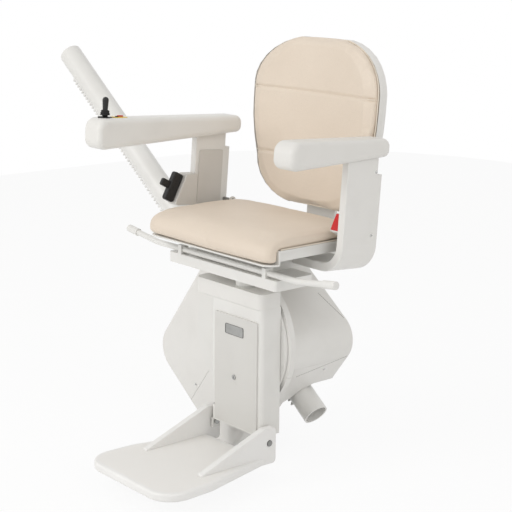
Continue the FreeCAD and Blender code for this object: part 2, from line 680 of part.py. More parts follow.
def make_footplate():
    """Tray, anti-slip mat, side arms and hinge pins."""
    half = d.foot_width / 2
    corner = d.foot_corner
    low = d.foot_top - d.foot_thick
    arm_half = d.column_width / 2 + d.free_gap + 2 + d.foot_arm_thick
    outline = [(-half, -d.foot_front, corner), (half, -d.foot_front, corner),
               (half - 6, -d.foot_arm_reach, 20), (arm_half, -d.foot_rear, 0),
               (-arm_half, -d.foot_rear, 0), (6 - half, -d.foot_arm_reach, 20)]
    tray = slab("tray_slab", "XY", outline, d.foot_thick, low, soft=6, soft_side="both")
    inset = 12
    mat_room = [(inset - half, inset - d.foot_front, corner - inset),
                (half - inset, inset - d.foot_front, corner - inset),
                (half - inset - 6, -d.foot_arm_reach, 20),
                (arm_half - d.foot_arm_thick - 2, -d.foot_rear - 14, 0),
                (2 + d.foot_arm_thick - arm_half, -d.foot_rear - 14, 0),
                (inset + 6 - half, -d.foot_arm_reach, 20)]
    recess = slab("mat_recess", "XY", mat_room, d.mat_thick, d.foot_top - d.mat_thick)
    mat = slab("mat_slab", "XY", mat_room, d.mat_thick, d.foot_top - d.mat_thick)
    rooms = []
    arms = []
    for side, word in ((-1, "right"), (1, "left")):
        inner = side * (arm_half - d.foot_arm_thick)
        start = inner if side > 0 else inner - d.foot_arm_thick
        rooms.append(box(f"{word}_mat_room", (start - d.free_gap, -d.foot_arm_reach - d.free_gap,
                                              low),
                         (d.foot_arm_thick + 2 * d.free_gap, 220, d.foot_thick + 1)))
        rear = -d.foot_arm_rear
        top = d.foot_arm_top
        outline = [(rear, low, 10), (rear, top, 14), (-d.column_front - 6, top, 16),
                   (-d.foot_arm_reach, d.foot_top + 3, 4), (-d.foot_arm_reach, low + 4, 4)]
        side_arm = slab(f"{word}_foot_arm", "YZ", outline, d.foot_arm_thick, start,
                        holes=[(d.foot_hinge_y, d.foot_hinge_z, d.foot_pin + d.running_gap)],
                        soft=2.5, soft_side="both")
        arms.append(side_arm)
    whole = join("tray_whole", cut("tray_cut", tray, recess), *arms)
    keep(whole, "footplate", CHAIR)
    keep(cut("mat_cut", mat, *rooms), "footplate_mat", CHAIR)
    pins = []
    reach = arm_half + 1
    for side, word in ((-1, "right"), (1, "left")):
        start = d.column_width / 2 - 12
        x = start if side > 0 else -reach
        pins.append(rod(f"{word}_foot_pin", d.foot_pin, reach - start,
                        (x, d.foot_hinge_y, d.foot_hinge_z), EAST))
    keep(group("foot_pins", *pins), "footplate_pins", CHAIR)


# Swivel: the wide plate on the spindle, the seat's frame and the release levers

def make_swivel():
    """Hub, plate, frame rails and the bent lever bar with its grips."""
    hub = rod("hub_block", d.hub_radius, d.plate_low - d.hub_low, (0, d.swivel_y, d.hub_low))
    eye = rod("hub_eye", d.spindle_radius + d.running_gap, d.plate_low - d.hub_low,
              (0, d.swivel_y, d.hub_low))
    keep(cut("hub_cut", hub, eye), "swivel_hub", CHAIR)
    half = d.plate_width / 2
    outline = [(-half, -d.plate_front, 7), (half, -d.plate_front, 7),
               (half, d.plate_depth - d.plate_front, 12), (-half, d.plate_depth - d.plate_front, 12)]
    plate = slab("plate_slab", "XY", outline, d.plate_high - d.plate_low, d.plate_low,
                 holes=[(0, d.swivel_y, d.spindle_radius + d.running_gap)])
    ears = []
    ways = []
    for side, word in ((-1, "right"), (1, "left")):
        x = side * d.ear_spread - d.ear_thick / 2
        ears.append(box(f"{word}_ear", (x, d.lever_y - 11, d.plate_high), (d.ear_thick, 22, 22)))
        ways.append(rod(f"{word}_ear_way", d.lever_radius + d.running_gap, d.ear_thick,
                        (x, d.lever_y, d.lever_z), EAST))
    keep(cut("plate_cut", join("plate_ears", plate, *ears), *ways), "swivel_plate", CHAIR)
    rails = []
    height = d.frame_rail_high - d.plate_high
    for side, word in ((-1, "right"), (1, "left")):
        x = side * d.frame_rail_spread - d.frame_rail_width / 2
        rails.append(box(f"{word}_rail", (x, -d.frame_front, d.plate_high),
                         (d.frame_rail_width, d.frame_front + d.frame_rear, height)))
    span = 2 * d.frame_rail_spread - d.frame_rail_width
    cross = box("rear_cross", (-span / 2, d.frame_rear - 20, d.plate_high), (span, 20, height))
    front = box("front_cross", (-span / 2, -d.frame_front, d.plate_high), (span, 16, height))
    keep(join("frame_whole", *rails, cross, front), "seat_frame", CHAIR)

    bend = []
    radius = d.lever_radius
    straight = rod("lever_straight", radius, 2 * d.lever_span, (-d.lever_span, d.lever_y, d.lever_z),
                   EAST)
    bend.append(straight)
    grips = []
    run = float(d.lever_reach - d.lever_span)
    for side, word in ((-1, "right"), (1, "left")):
        direction = FreeCAD.Vector(side * run, 0, float(d.lever_rise)).normalize()
        start = (side * d.lever_span, d.lever_y, d.lever_z)
        bend.append(rod(f"{word}_lever_end", radius, d.lever_reach - d.lever_span - 40, start,
                        direction))
        bend.append(ball(f"{word}_lever_knee", radius, start))
        tip = FreeCAD.Vector(*map(float, start)) + direction * (run - 40)
        handle = rod(f"{word}_handle", radius + 2, 38, tip, direction)
        grips.append(handle)
    keep(join("lever_whole", *bend), "lever_bar", CHAIR)
    keep(group("lever_handles", *grips), "lever_grips", CHAIR)


# Seat: steel pan with a rolled rim, and the crowned cushion with its waterfall nose

def wire_of(points_and_mids, place):
    """A closed wire: each entry is a point, or (middle, point) for an arc to that point."""
    here = place(*points_and_mids[0])
    start = here
    edges = []
    for entry in points_and_mids[1:]:
        if isinstance(entry[0], tuple):
            middle, after = place(*entry[0]), place(*entry[1])
            edges.append(Part.Arc(here, middle, after).toShape())
        else:
            after = place(*entry)
            edges.append(Part.LineSegment(here, after).toShape())
        here = after
    edges.append(Part.LineSegment(here, start).toShape())
    return Part.Wire(edges)


def round_off(reach, radius):
    """How far a quarter round of the radius has drawn in at this reach into it."""
    reach = min(max(reach, 0.0), radius)
    return radius - math.sqrt(max(radius * radius - reach * reach, 0.0))


def seat_profile(x):
    """Side view of the cushion at one place across the seat."""
    half = float(d.seat_width) / 2
    edge = float(d.seat_edge)
    corner = float(d.seat_corner)
    top_draw = round_off(abs(x) - (half - edge), edge)
    plan_draw = round_off(abs(x) - (half - corner), corner)
    share = abs(x) / half
    low = float(d.pan_low + d.pan_thick + d.free_gap)
    step = float(d.apron - d.free_gap - d.seat_front)
    nose = float(d.nose_low) + 0.4 * top_draw
    top = float(d.cushion_high) - 4 * share * share - 0.82 * top_draw
    front = 0.6 * plan_draw - float(d.seat_front)
    rear = float(d.seat_rear) - 0.7 * plan_draw
    crest = front + 66
    rise = top - low
    drop = top - nose
    points = [
        (rear, low),
        ((rear + 1.5, low + 0.32 * rise), (rear - 2, low + 0.6 * rise)),
        ((rear - 8, low + 0.76 * rise), (rear - 26, low + 0.86 * rise)),
        (((rear + crest) / 2 - 20, top + 0.5), (crest, top - 0.07 * drop)),
        ((front + 20, top - 0.27 * drop), (front + 1, nose + 0.42 * drop)),
        ((front + 0.08 * (step - front), nose + 0.15 * drop), (front + 0.35 * (step - front), nose)),
        (step, nose),
        (step, low),
    ]
    return wire_of(points, lambda y, z: FreeCAD.Vector(x, y, z))


def make_seat():
    """Pan with its channels and pivot ears, rests on the frame, and the cushion."""
    half = float(d.seat_width) / 2
    steps = (0, 0.35, 0.62, 0.8, 0.88, 0.93, 0.965, 0.987)
    places = [-half * s for s in reversed(steps[1:])] + [half * s for s in steps]
    shape = Part.makeLoft([seat_profile(x) for x in places], True, True)
    keep(feature("seat_cushion_loft", shape), "seat_cushion", CHAIR)

    side = d.seat_width / 2
    low = d.pan_low
    top = low + d.pan_thick
    apron = d.apron - d.seat_front
    flange = d.nose_low - d.free_gap
    rear = d.seat_rear - 2
    outline = [(rear, low, 0), (rear, top, 0), (apron, top, 0), (apron, flange, 0),
               (6 - d.seat_front, flange, 0), (6 - d.seat_front, flange - d.apron_thick, 1.5),
               (apron + d.apron_thick, flange - d.apron_thick, 3), (apron + d.apron_thick, low, 0)]
    bent = slab("pan_sheet", "YZ", outline, d.seat_width, -side)
    plan = slab("pan_plan", "XY", rectangle(-side, 4 - d.seat_front, side, rear, d.seat_corner - 8),
                80, flange - 20)
    whole = [common("pan_trimmed", bent, plan)]
    ways = []
    for turn, word in ((-1, "right"), (1, "left")):
        x = turn * d.channel_spread - d.channel_width / 2
        whole.append(box(f"{word}_channel", (x, apron + d.apron_thick, low - d.channel_height),
                         (d.channel_width, 185, d.channel_height)))
        inner = side + d.free_gap
        x = inner if turn > 0 else -inner - d.ear_wide
        ear = slab(f"{word}_seat_ear", "YZ",
                   rectangle(d.seat_hinge_y - 10, low - 4, d.seat_hinge_y + 10,
                             d.seat_hinge_z + 10, 9.5), d.ear_wide, x)
        foot_x = side - 12 if turn > 0 else -inner - d.ear_wide
        foot = box(f"{word}_ear_foot", (foot_x, d.seat_hinge_y - 8, low - 4),
                   (12 + d.free_gap + d.ear_wide, 16, 4))
        whole += [ear, foot]
        ways.append(rod(f"{word}_ear_bore", d.seat_pin + d.running_gap, d.ear_wide + 2,
                        (x - 1, d.seat_hinge_y, d.seat_hinge_z), EAST))
    keep(cut("pan_cut", join("pan_whole", *whole), *ways), "seat_pan", CHAIR)

    wall = d.bracket_half - d.bracket_thick
    start = side + 2 * d.free_gap
    pins = [rod(f"{word}_seat_pin", d.seat_pin, wall - start,
                (start if turn > 0 else -wall, d.seat_hinge_y, d.seat_hinge_z), EAST)
            for turn, word in ((-1, "right"), (1, "left"))]
    keep(group("seat_pins", *pins), "seat_hinge_pins", CHAIR)
    rests = []
    for turn, word in ((-1, "right"), (1, "left")):
        for number, y in enumerate((-d.frame_front + 10, d.seat_hinge_y - d.rest_ahead)):
            rests.append(box(f"{word}_rest_{number}",
                             (turn * d.frame_rail_spread - d.rest_width / 2, y, d.frame_rail_high),
                             (d.rest_width, d.rest_length,
                              low - d.free_gap - d.frame_rail_high)))
    keep(group("rests", *rests), "seat_rests", CHAIR)


# Arms: a bent side bracket, its trim, the fold pin and the pad, in the leaning frame

def arm_top_at(y, front):
    """Height of the pad's top, which falls a little towards the front."""
    share = (float(d.arm_rear) - y) / (float(d.arm_rear) + float(front))
    return float(d.arm_top) - 9 * share * float(front) / float(d.arm_right_front)


def make_arm(side, word, front):
    """One arm; side is -1 for the sitter's right and 1 for the left."""
    thick = d.bracket_thick
    out = d.bracket_half
    top = d.bracket_top
    bend = d.bracket_bend
    outline = [(side * out, top, 0), (side * out, 0, bend), (side * d.leg_inner, 0, 0),
               (side * d.leg_inner, thick, 0), (side * (out - thick), thick, bend - thick),
               (side * (out - thick), top, 0)]
    plate = slab(f"{word}_bracket_plate", "XZ", outline, d.bracket_front + d.bracket_rear,
                 -d.bracket_front, soft=3, soft_side="both")
    inner = side * (out - thick)
    x = inner if side > 0 else -out
    knuckle = rod(f"{word}_knuckle", d.knuckle_radius, thick, (x, 0, d.arm_pivot_z), EAST)
    neck = box(f"{word}_neck", (x, -d.knuckle_radius, top - 6),
               (thick, 2 * d.knuckle_radius, d.arm_pivot_z - top + 6))
    pin_way = rod(f"{word}_pin_way", d.arm_pin, thick + 2, (x - 1, 0, d.arm_pivot_z), EAST)
    notch = box(f"{word}_notch", (x - 1, d.knuckle_radius + 0.5, d.arm_pivot_z - 54),
                (thick + 2, 40, 60))
    whole = cut(f"{word}_bracket_cut", join(f"{word}_bracket_all", plate, knuckle, neck), pin_way,
                notch)
    keep(whole, f"{word}_arm_bracket", BACK)

    trim_x = inner - 1.5 if side > 0 else inner
    trim = slab(f"{word}_trim_sheet", "YZ",
                rectangle(10 - d.bracket_front, bend + 12, d.bracket_rear - 22, top - 42, 5), 1.5,
                trim_x)

    outer_edge = d.arm_half
    start = outer_edge - d.arm_width if side > 0 else -outer_edge
    front_y = -float(front)
    slope = float(d.arm_rear_low - d.arm_front_low) / (float(d.arm_rear) + float(d.arm_left_front))
    front_low = float(d.arm_rear_low) - slope * (float(d.arm_rear) + float(front)) * 0.9
    profile = [(front_y, front_low, 22), (d.arm_rear, d.arm_rear_low, 15),
               (d.arm_rear, d.arm_top, 18), (front_y, arm_top_at(front_y, front), 26)]
    pad = slab(f"{word}_pad_block", "YZ", profile, d.arm_width, start, soft=d.arm_soft,
               soft_side="both")
    gap = d.slot_clear
    slot_x = x - gap
    slot = box(f"{word}_slot", (slot_x, -d.knuckle_radius - 34, d.arm_front_low - 40),
               (thick + 2 * gap, 150, d.arm_pivot_z + d.knuckle_radius + gap
                - d.arm_front_low + 40))
    shelf = box(f"{word}_shelf", (slot_x, -d.bracket_front - gap, d.arm_front_low - 40),
                (thick + 2 * gap, d.bracket_front, top + gap - d.arm_front_low + 40))
    pin_length = d.arm_width - 12
    pin_x = start + 6
    way = rod(f"{word}_pad_way", d.arm_pin + d.running_gap, pin_length + 0.4,
              (pin_x - 0.2, 0, d.arm_pivot_z), EAST)
    tools = [slot, shelf, way]
    if side < 0:
        tools += control_recesses(front)
    keep(cut(f"{word}_pad_cut", pad, *tools), f"{word}_armrest", BACK)
    pin = rod(f"{word}_arm_pin", d.arm_pin, pin_length, (pin_x, 0, d.arm_pivot_z), EAST)
    return trim, pin


def control_places(front):
    """Middle of the stick and of the oval plate on the right armrest."""
    x = -(float(d.arm_half) - float(d.arm_width) / 2)
    stick_y = -float(front) + 36
    oval_y = stick_y + 39
    return x, stick_y, oval_y


def oval(long, wide, x, y):
    """Corners of a rounded plate, long along Y."""
    return rectangle(x - wide / 2, y - long / 2, x + wide / 2, y + long / 2, wide / 2 - 0.01)


def control_recesses(front):
    """Pockets in the right armrest for the controls."""
    x, stick_y, oval_y = control_places(front)
    plate_z = arm_top_at(oval_y, front) - 2
    stick_z = arm_top_at(stick_y, front) - 2
    plate = slab("oval_pocket", "XY", oval(42.4, 28.4, x, oval_y), 12, plate_z)
    ring = rod("collar_pocket_stick", 16.2, 12, (x, stick_y, stick_z))
    return [plate, ring]


def make_controls(front):
    """Joystick with its boot, the oval plate, the key switch and the power button."""
    x, stick_y, oval_y = control_places(front)
    plate_z = arm_top_at(oval_y, front) - 2
    stick_z = arm_top_at(stick_y, front) - 2
    ball_z = stick_z + 8.6
    ring = rod("stick_ring", 16, 4, (x, stick_y, stick_z))
    cup = ball("stick_cup", 7.3, (x, stick_y, ball_z))
    keep(cut("stick_ring_cut", ring, cup), "joystick_collar", BACK)
    base = ball_z - 0.9
    folds = [cone(f"boot_fold_{index}", low, high, 4.2, (x, stick_y, base + 4 * index))
             for index, (low, high) in enumerate(((12, 10.2), (11.4, 9.4), (10.4, 8)))]
    way = rod("boot_way", 4.6, 20, (x, stick_y, base - 1))
    room = ball("boot_room", 7.05, (x, stick_y, ball_z))
    keep(cut("boot_cut", join("boot_folds", *folds), way, room), "joystick_boot", BACK)
    stem = rod("stick_stem", 4.5, 33, (x, stick_y, ball_z))
    foot = ball("stick_ball", 7, (x, stick_y, ball_z))
    cap = cone("stick_cap", 6, 7.2, 22, (x, stick_y, base + 12.4))
    tip = ball("stick_tip", 7.2, (x, stick_y, base + 34.4))
    keep(join("stick_whole", stem, foot, cap, tip), "joystick_stick", BACK)

    key_x, key_y = x + 5, oval_y - 10
    button = rectangle(x - 8.5, oval_y - 1, x - 2.5, oval_y + 14, 2)
    button_way = rectangle(x - 8.7, oval_y - 1.2, x - 2.3, oval_y + 14.2, 2.2)
    plate = slab("oval_plate", "XY", oval(42, 28, x, oval_y), 3.2, plate_z,
                 holes=[button_way, (key_x, key_y, 4.1)])
    keep(plate, "control_plate", BACK)
    keep(slab("button_cap", "XY", button, 3.6, plate_z + 2.2), "power_button", BACK)
    barrel = rod("key_barrel", 4, 5, (key_x, key_y, plate_z + 0.2))
    way = box("key_way", (key_x - 0.6, key_y - 2.6, plate_z + 3.6), (1.2, 5.2, 3))
    keep(cut("key_cut", barrel, way), "key_switch", BACK)


# Backrest: hollow faced cushion with two sewn channels, its shell and the centre post

def back_half_at(z):
    """Half the backrest's width at a height in the leaning frame."""
    foot = float(d.back_foot_half) + 10
    full = float(d.back_half)
    low = float(d.back_low)
    high = float(d.back_high)
    foot_top = low + float(d.back_low_corner)
    share = min(max((z - foot_top) / 130.0, 0.0), 1.0)
    half = foot + (full - foot) * math.sin(share * math.pi / 2)
    if z < foot_top:
        rise = (foot_top - z) / float(d.back_low_corner)
        half = foot - 125 * (1 - math.sqrt(max(1 - rise * rise, 0.0)))
    head = high - float(d.back_corner) - 26
    if z > head:
        rise = (z - head) / (high - head)
        half = full - 172 * (1 - math.sqrt(max(1 - rise * rise, 0.0)))
    return half


def back_section(z, grow, front, rear):
    """Plan outline of the backrest at a height, between two depths behind its face."""
    half = back_half_at(z) + grow
    full = float(d.back_half)
    face = float(d.back_side_y)
    hollow = float(d.back_hollow)
    side = face + hollow * (1 - (min(half, full) / full) ** 2)
    middle = face + hollow
    front_side, front_middle = side + front, middle + front
    rear_side, rear_middle = side + rear, middle + rear
    bulge = 0.12 * (rear - front)
    centre_y = (front_side + rear_side) / 2
    points = [
        (-half, front_side),
        ((0, front_middle), (half, front_side)),
        ((half + bulge, centre_y), (half, rear_side)),
        ((0, rear_middle), (-half, rear_side)),
        ((-half - bulge, centre_y), (-half, front_side)),
    ]
    place = lambda x, y: FreeCAD.Vector(x, y, z)
    here = place(*points[0])
    edges = []
    for middle_spot, after in points[1:]:
        stop = place(*after)
        edges.append(Part.Arc(here, place(*middle_spot), stop).toShape())
        here = stop
    return Part.Wire(edges)


def back_levels():
    """Heights of the backrest's sections, closer where it turns."""
    low = float(d.back_low)
    high = float(d.back_high)
    levels = [low + step for step in (1, 4, 10, 20, 36, 58, 82, 105)]
    for seam in (float(d.seam_low) + 5, float(d.seam_high) + 5):
        levels += [seam - 5, seam - 1.5, seam + 1.5, seam + 5]
    levels += [low + 155, low + 200, low + 240]
    levels += [high - step for step in (112, 95, 74, 52, 34, 18, 8, 2)]
    return sorted(levels)


def make_back():
    """Cushion, shell and centre post of the backrest."""
    low = float(d.back_low)
    high = float(d.back_high)
    thick = float(d.back_thick)
    seams = (float(d.seam_low) + 5, float(d.seam_high) + 5)
    wires = []
    for z in back_levels():
        edge = min(z - low, high - z)
        soften = round_off(16 - edge, 16.0) * 0.9
        channel = float(d.seam_depth) if any(abs(z - seam) < 2 for seam in seams) else 0.0
        wires.append(back_section(z, 0.0, soften + channel, thick))
    cushion = Part.makeLoft(wires, True, True)
    keep(feature("back_cushion_loft", cushion), "back_cushion", BACK)
    gap = float(d.free_gap)
    proud = float(d.shell_proud)
    lap = float(d.shell_lap)
    out = []
    room = []
    for z in back_levels():
        out.append(back_section(z, proud, thick - lap, thick + float(d.shell_thick)))
        room.append(back_section(z, gap, thick - lap - 30, thick + gap))
    outer = Part.makeLoft(out, True, True)
    inner = Part.makeLoft(room, True, True)
    keep(feature("back_shell_loft", outer.cut(inner)), "back_shell", BACK)
    face = d.back_side_y + d.back_hollow + d.back_thick + d.shell_thick + d.free_gap
    half = d.post_width / 2
    plate = slab("post_plate", "XZ", rectangle(-half, 60, half, 300, 8), d.post_thick, face)
    plate.Placement = CHAIR.inverse().multiply(BACK).multiply(plate.Placement)
    foot = box("post_foot", (-half, d.frame_rear, d.plate_high), (d.post_width, d.post_thick, 80))
    keep(join("post_whole", plate, foot), "back_post", CHAIR)


# Seat belt parts

def make_belt():
    """Retractor, the tongue parked on it, and the buckle with its button on the left."""
    front = -d.bracket_front
    out = d.bracket_half
    housing = [(front - 0.3, 80, 4), (front - 0.3, 156, 4), (front - 34, 156, 6),
               (front - 68, 80, 8)]
    keep(slab("retractor_block", "YZ", housing, 34, -out, soft=2.5, soft_side="both"),
         "belt_retractor", BACK)
    turn = FreeCAD.Rotation(FreeCAD.Vector(1, 0, 0), -24.0)
    spot = FreeCAD.Vector(-float(out) + 10, float(front) - 51, 118)
    bar = slab("tongue_bar", "YZ", rectangle(-28, -36, -0.3, 36, 6), 15, 0, soft=3,
               soft_side="both")
    stub = slab("tongue_stub", "YZ", rectangle(-52, -9, -20, 9, 4), 9, 3, soft=2,
                soft_side="both")
    tongue = join("tongue_whole", bar, stub)
    tongue.Placement = FreeCAD.Placement(spot, turn)
    keep(tongue, "belt_tongue", BACK)

    left = d.seat_width / 2 + 2 * d.free_gap + d.ear_wide + 0.2
    inner_face = d.bracket_half - d.bracket_thick
    width = inner_face - 1.5 - d.free_gap - left
    body = [(-120, 496, 3), (-100, 535, 4), (-72, 521, 20), (-47, 488, 16), (-51, 455, 4)]
    face_turn = FreeCAD.Rotation(FreeCAD.Vector(1, 0, 0), -math.degrees(math.atan2(20, 39)))
    corner = FreeCAD.Vector(float(left), -110, 515.5)
    pocket = box("button_pocket", (0, 0, 0), (width - 3, 9, 38))
    pocket.Placement = FreeCAD.Placement(
        corner + face_turn.multVec(FreeCAD.Vector(1.5, -3, -19)), face_turn)
    pivot = (left - 2, -62, 468)
    way = rod("buckle_way", 4 + d.running_gap, width + 4, pivot, EAST)
    shell = slab("buckle_block", "YZ", body, width, left, soft=1.4, soft_side="both")
    keep(cut("buckle_cut", shell, pocket, way), "buckle_body", CHAIR)
    cap = slab("buckle_cap", "XZ", rectangle(d.free_gap, d.free_gap, width - 3 - d.free_gap,
                                             38 - d.free_gap, 2), 4, 0)
    cap.Placement = FreeCAD.Placement(
        corner + face_turn.multVec(FreeCAD.Vector(1.5, -1, -19)), face_turn)
    keep(cap, "buckle_button", CHAIR)
    pin = rod("buckle_pin_bar", 4, inner_face - left - 2, (left + 2, -62, 468), EAST)
    keep(pin, "buckle_pin", CHAIR)


make_rail()
make_covers()
shelf_top = make_chassis()
make_running_gear()
make_drive(shelf_top)
make_levelling()
make_column()
make_collar()
make_footplate()
make_swivel()
make_seat()
right_trim, right_pin = make_arm(-1, "right", d.arm_right_front)
left_trim, left_pin = make_arm(1, "left", d.arm_left_front)
keep(group("arm_trim_pair", right_trim, left_trim), "arm_trims", BACK)
keep(group("arm_pin_pair", right_pin, left_pin), "arm_pins", BACK)
make_controls(d.arm_right_front)
make_back()
make_belt()

doc.recompute()
faults = []
for piece in doc.Objects:
    if any(word in piece.State for word in ("Invalid", "Error")):
        faults.append(f"{piece.Label}: {piece.State}")
for piece in nodes:
    if piece.Shape.isNull() or not piece.Shape.isValid() or not piece.Shape.Solids:
        faults.append(f"{piece.Label}: shape not valid")
if faults:
    raise RuntimeError("; ".join(faults))
os.makedirs("parts", exist_ok=True)
for piece in nodes:
    piece.Shape.exportStep(f"parts/{piece.Label}.step")
    volume = piece.Shape.Volume / 1000
    print(f"{piece.Label:22s} solids {len(piece.Shape.Solids):2d} volume {volume:9.1f} cm3")
print(len(nodes), "nodes")
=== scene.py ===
"""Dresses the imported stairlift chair: finishes, upholstery, trim, light and camera."""
import logging
import math
from dataclasses import dataclass, field
from enum import Enum
from typing import Sequence, Union

import bmesh
import bpy
from mathutils import Matrix, Vector
from mathutils.bvhtree import BVHTree


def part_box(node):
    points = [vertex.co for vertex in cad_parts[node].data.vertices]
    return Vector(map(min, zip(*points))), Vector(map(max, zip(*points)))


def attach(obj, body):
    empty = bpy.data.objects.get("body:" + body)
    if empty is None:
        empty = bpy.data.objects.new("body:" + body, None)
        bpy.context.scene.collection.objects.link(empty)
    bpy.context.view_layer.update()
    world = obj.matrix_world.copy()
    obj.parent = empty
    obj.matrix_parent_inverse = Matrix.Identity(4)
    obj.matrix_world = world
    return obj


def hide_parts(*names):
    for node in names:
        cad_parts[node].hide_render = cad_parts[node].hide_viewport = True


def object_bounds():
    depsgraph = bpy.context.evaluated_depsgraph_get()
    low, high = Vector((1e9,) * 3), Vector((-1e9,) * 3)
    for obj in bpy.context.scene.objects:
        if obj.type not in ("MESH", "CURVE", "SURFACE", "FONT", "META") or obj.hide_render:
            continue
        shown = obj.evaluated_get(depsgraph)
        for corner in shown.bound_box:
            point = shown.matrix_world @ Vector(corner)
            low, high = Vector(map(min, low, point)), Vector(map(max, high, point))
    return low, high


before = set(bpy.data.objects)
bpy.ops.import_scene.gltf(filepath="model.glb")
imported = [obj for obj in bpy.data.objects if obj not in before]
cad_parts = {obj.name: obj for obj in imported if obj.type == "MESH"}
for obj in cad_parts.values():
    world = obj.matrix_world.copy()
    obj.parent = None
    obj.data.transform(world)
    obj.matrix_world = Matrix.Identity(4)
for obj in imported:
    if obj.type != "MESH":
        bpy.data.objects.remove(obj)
CAD_BOX = [list(corner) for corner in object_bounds()]
log = logging.getLogger("stairlift")
Number = Union[int, float]
Colour = tuple[float, float, float]
Point = tuple[float, float, float]
VIEWPOINT: Point = (2.2159, -2.1092, 1.1030)


def linear(colour: Colour) -> tuple[float, float, float, float]:
    """Turn a display colour into the linear one that Blender's sockets hold.

    Args:
        colour: red, green and blue from 0 to 1, as a screen shows them.

    Returns:
        The linear colour with full alpha.
    """
    parts = [c / 12.92 if c <= 0.04045 else ((c + 0.055) / 1.055) ** 2.4 for c in colour]
    return parts[0], parts[1], parts[2], 1.0


class Wire:
    """A shader socket that can be used in a sum: each operator adds a Math node."""

    def __init__(self, graph: "Graph", socket: bpy.types.NodeSocket) -> None:
        """Hold the socket and the graph it belongs to."""
        self.graph = graph
        self.socket = socket

    def _math(self, operation: str, first: "Operand", second: "Operand") -> "Wire":
        """Add one Math node and return its result."""
        return self.graph.node("ShaderNodeMath", {"operation": operation}, {0: first, 1: second})

    def __add__(self, other: "Operand") -> "Wire":
        """Add a number or a wire."""
        return self._math("ADD", self, other)

    def __radd__(self, other: "Operand") -> "Wire":
        """Add this wire to a number."""
        return self._math("ADD", other, self)

    def __sub__(self, other: "Operand") -> "Wire":
        """Take a number or a wire away."""
        return self._math("SUBTRACT", self, other)

    def __rsub__(self, other: "Operand") -> "Wire":
        """Take this wire away from a number."""
        return self._math("SUBTRACT", other, self)

    def __mul__(self, other: "Operand") -> "Wire":
        """Multiply by a number or a wire."""
        return self._math("MULTIPLY", self, other)

    def __rmul__(self, other: "Operand") -> "Wire":
        """Multiply a number by this wire."""
        return self._math("MULTIPLY", other, self)

    def clamped(self) -> "Wire":
        """Keep the value between 0 and 1."""
        return self._math("MINIMUM", self._math("MAXIMUM", self, 0.0), 1.0)


Operand = Union[Wire, Number]


class Graph:
    """A node tree that is filled with nodes and links."""

    def __init__(self, tree: bpy.types.NodeTree) -> None:
        """Empty the tree and hold it."""
        self.tree = tree
        self.tree.nodes.clear()

    def _put(self, socket: bpy.types.NodeSocket, value: object) -> None:
        """Link a wire to a socket, or set the socket's value."""
        if isinstance(value, Wire):
            self.tree.links.new(value.socket, socket)
        else:
            socket.default_value = value

    def node(self, kind: str, settings: dict[str, object], values: dict[object, object],
             output: object = 0) -> Wire:
        """Add any node.

        Args:
            kind: the node's type.
            settings: its own settings, set first; "stops" fills a colour ramp.
            values: numbers, colours or wires for its sockets, by name or number.
            output: the output to return, by name or number.

        Returns:
            The chosen output as a wire.
        """
        made = self.tree.nodes.new(kind)
        for key, value in settings.items():
            if key == "stops":
                ramp = made.color_ramp
                ramp.elements[0].position, ramp.elements[0].color = value[0]
                ramp.elements[1].position, ramp.elements[1].color = value[-1]
                for place, colour in value[1:-1]:
                    ramp.elements.new(place).color = colour
            else:
                setattr(made, key, value)
        for key, value in values.items():
            self._put(made.inputs[key], value)
        return Wire(self, made.outputs[output] if made.outputs else None)

    def white_rays(self) -> Wire:
        """Give 1 for the rays that see a white background, and 0 for those that light."""
        camera = self.node("ShaderNodeLightPath", {}, {}, "Is Camera Ray")
        glossy = self.node("ShaderNodeLightPath", {}, {}, "Is Glossy Ray")
        through = self.node("ShaderNodeLightPath", {}, {}, "Is Transmission Ray")
        return (camera + glossy + through).clamped()


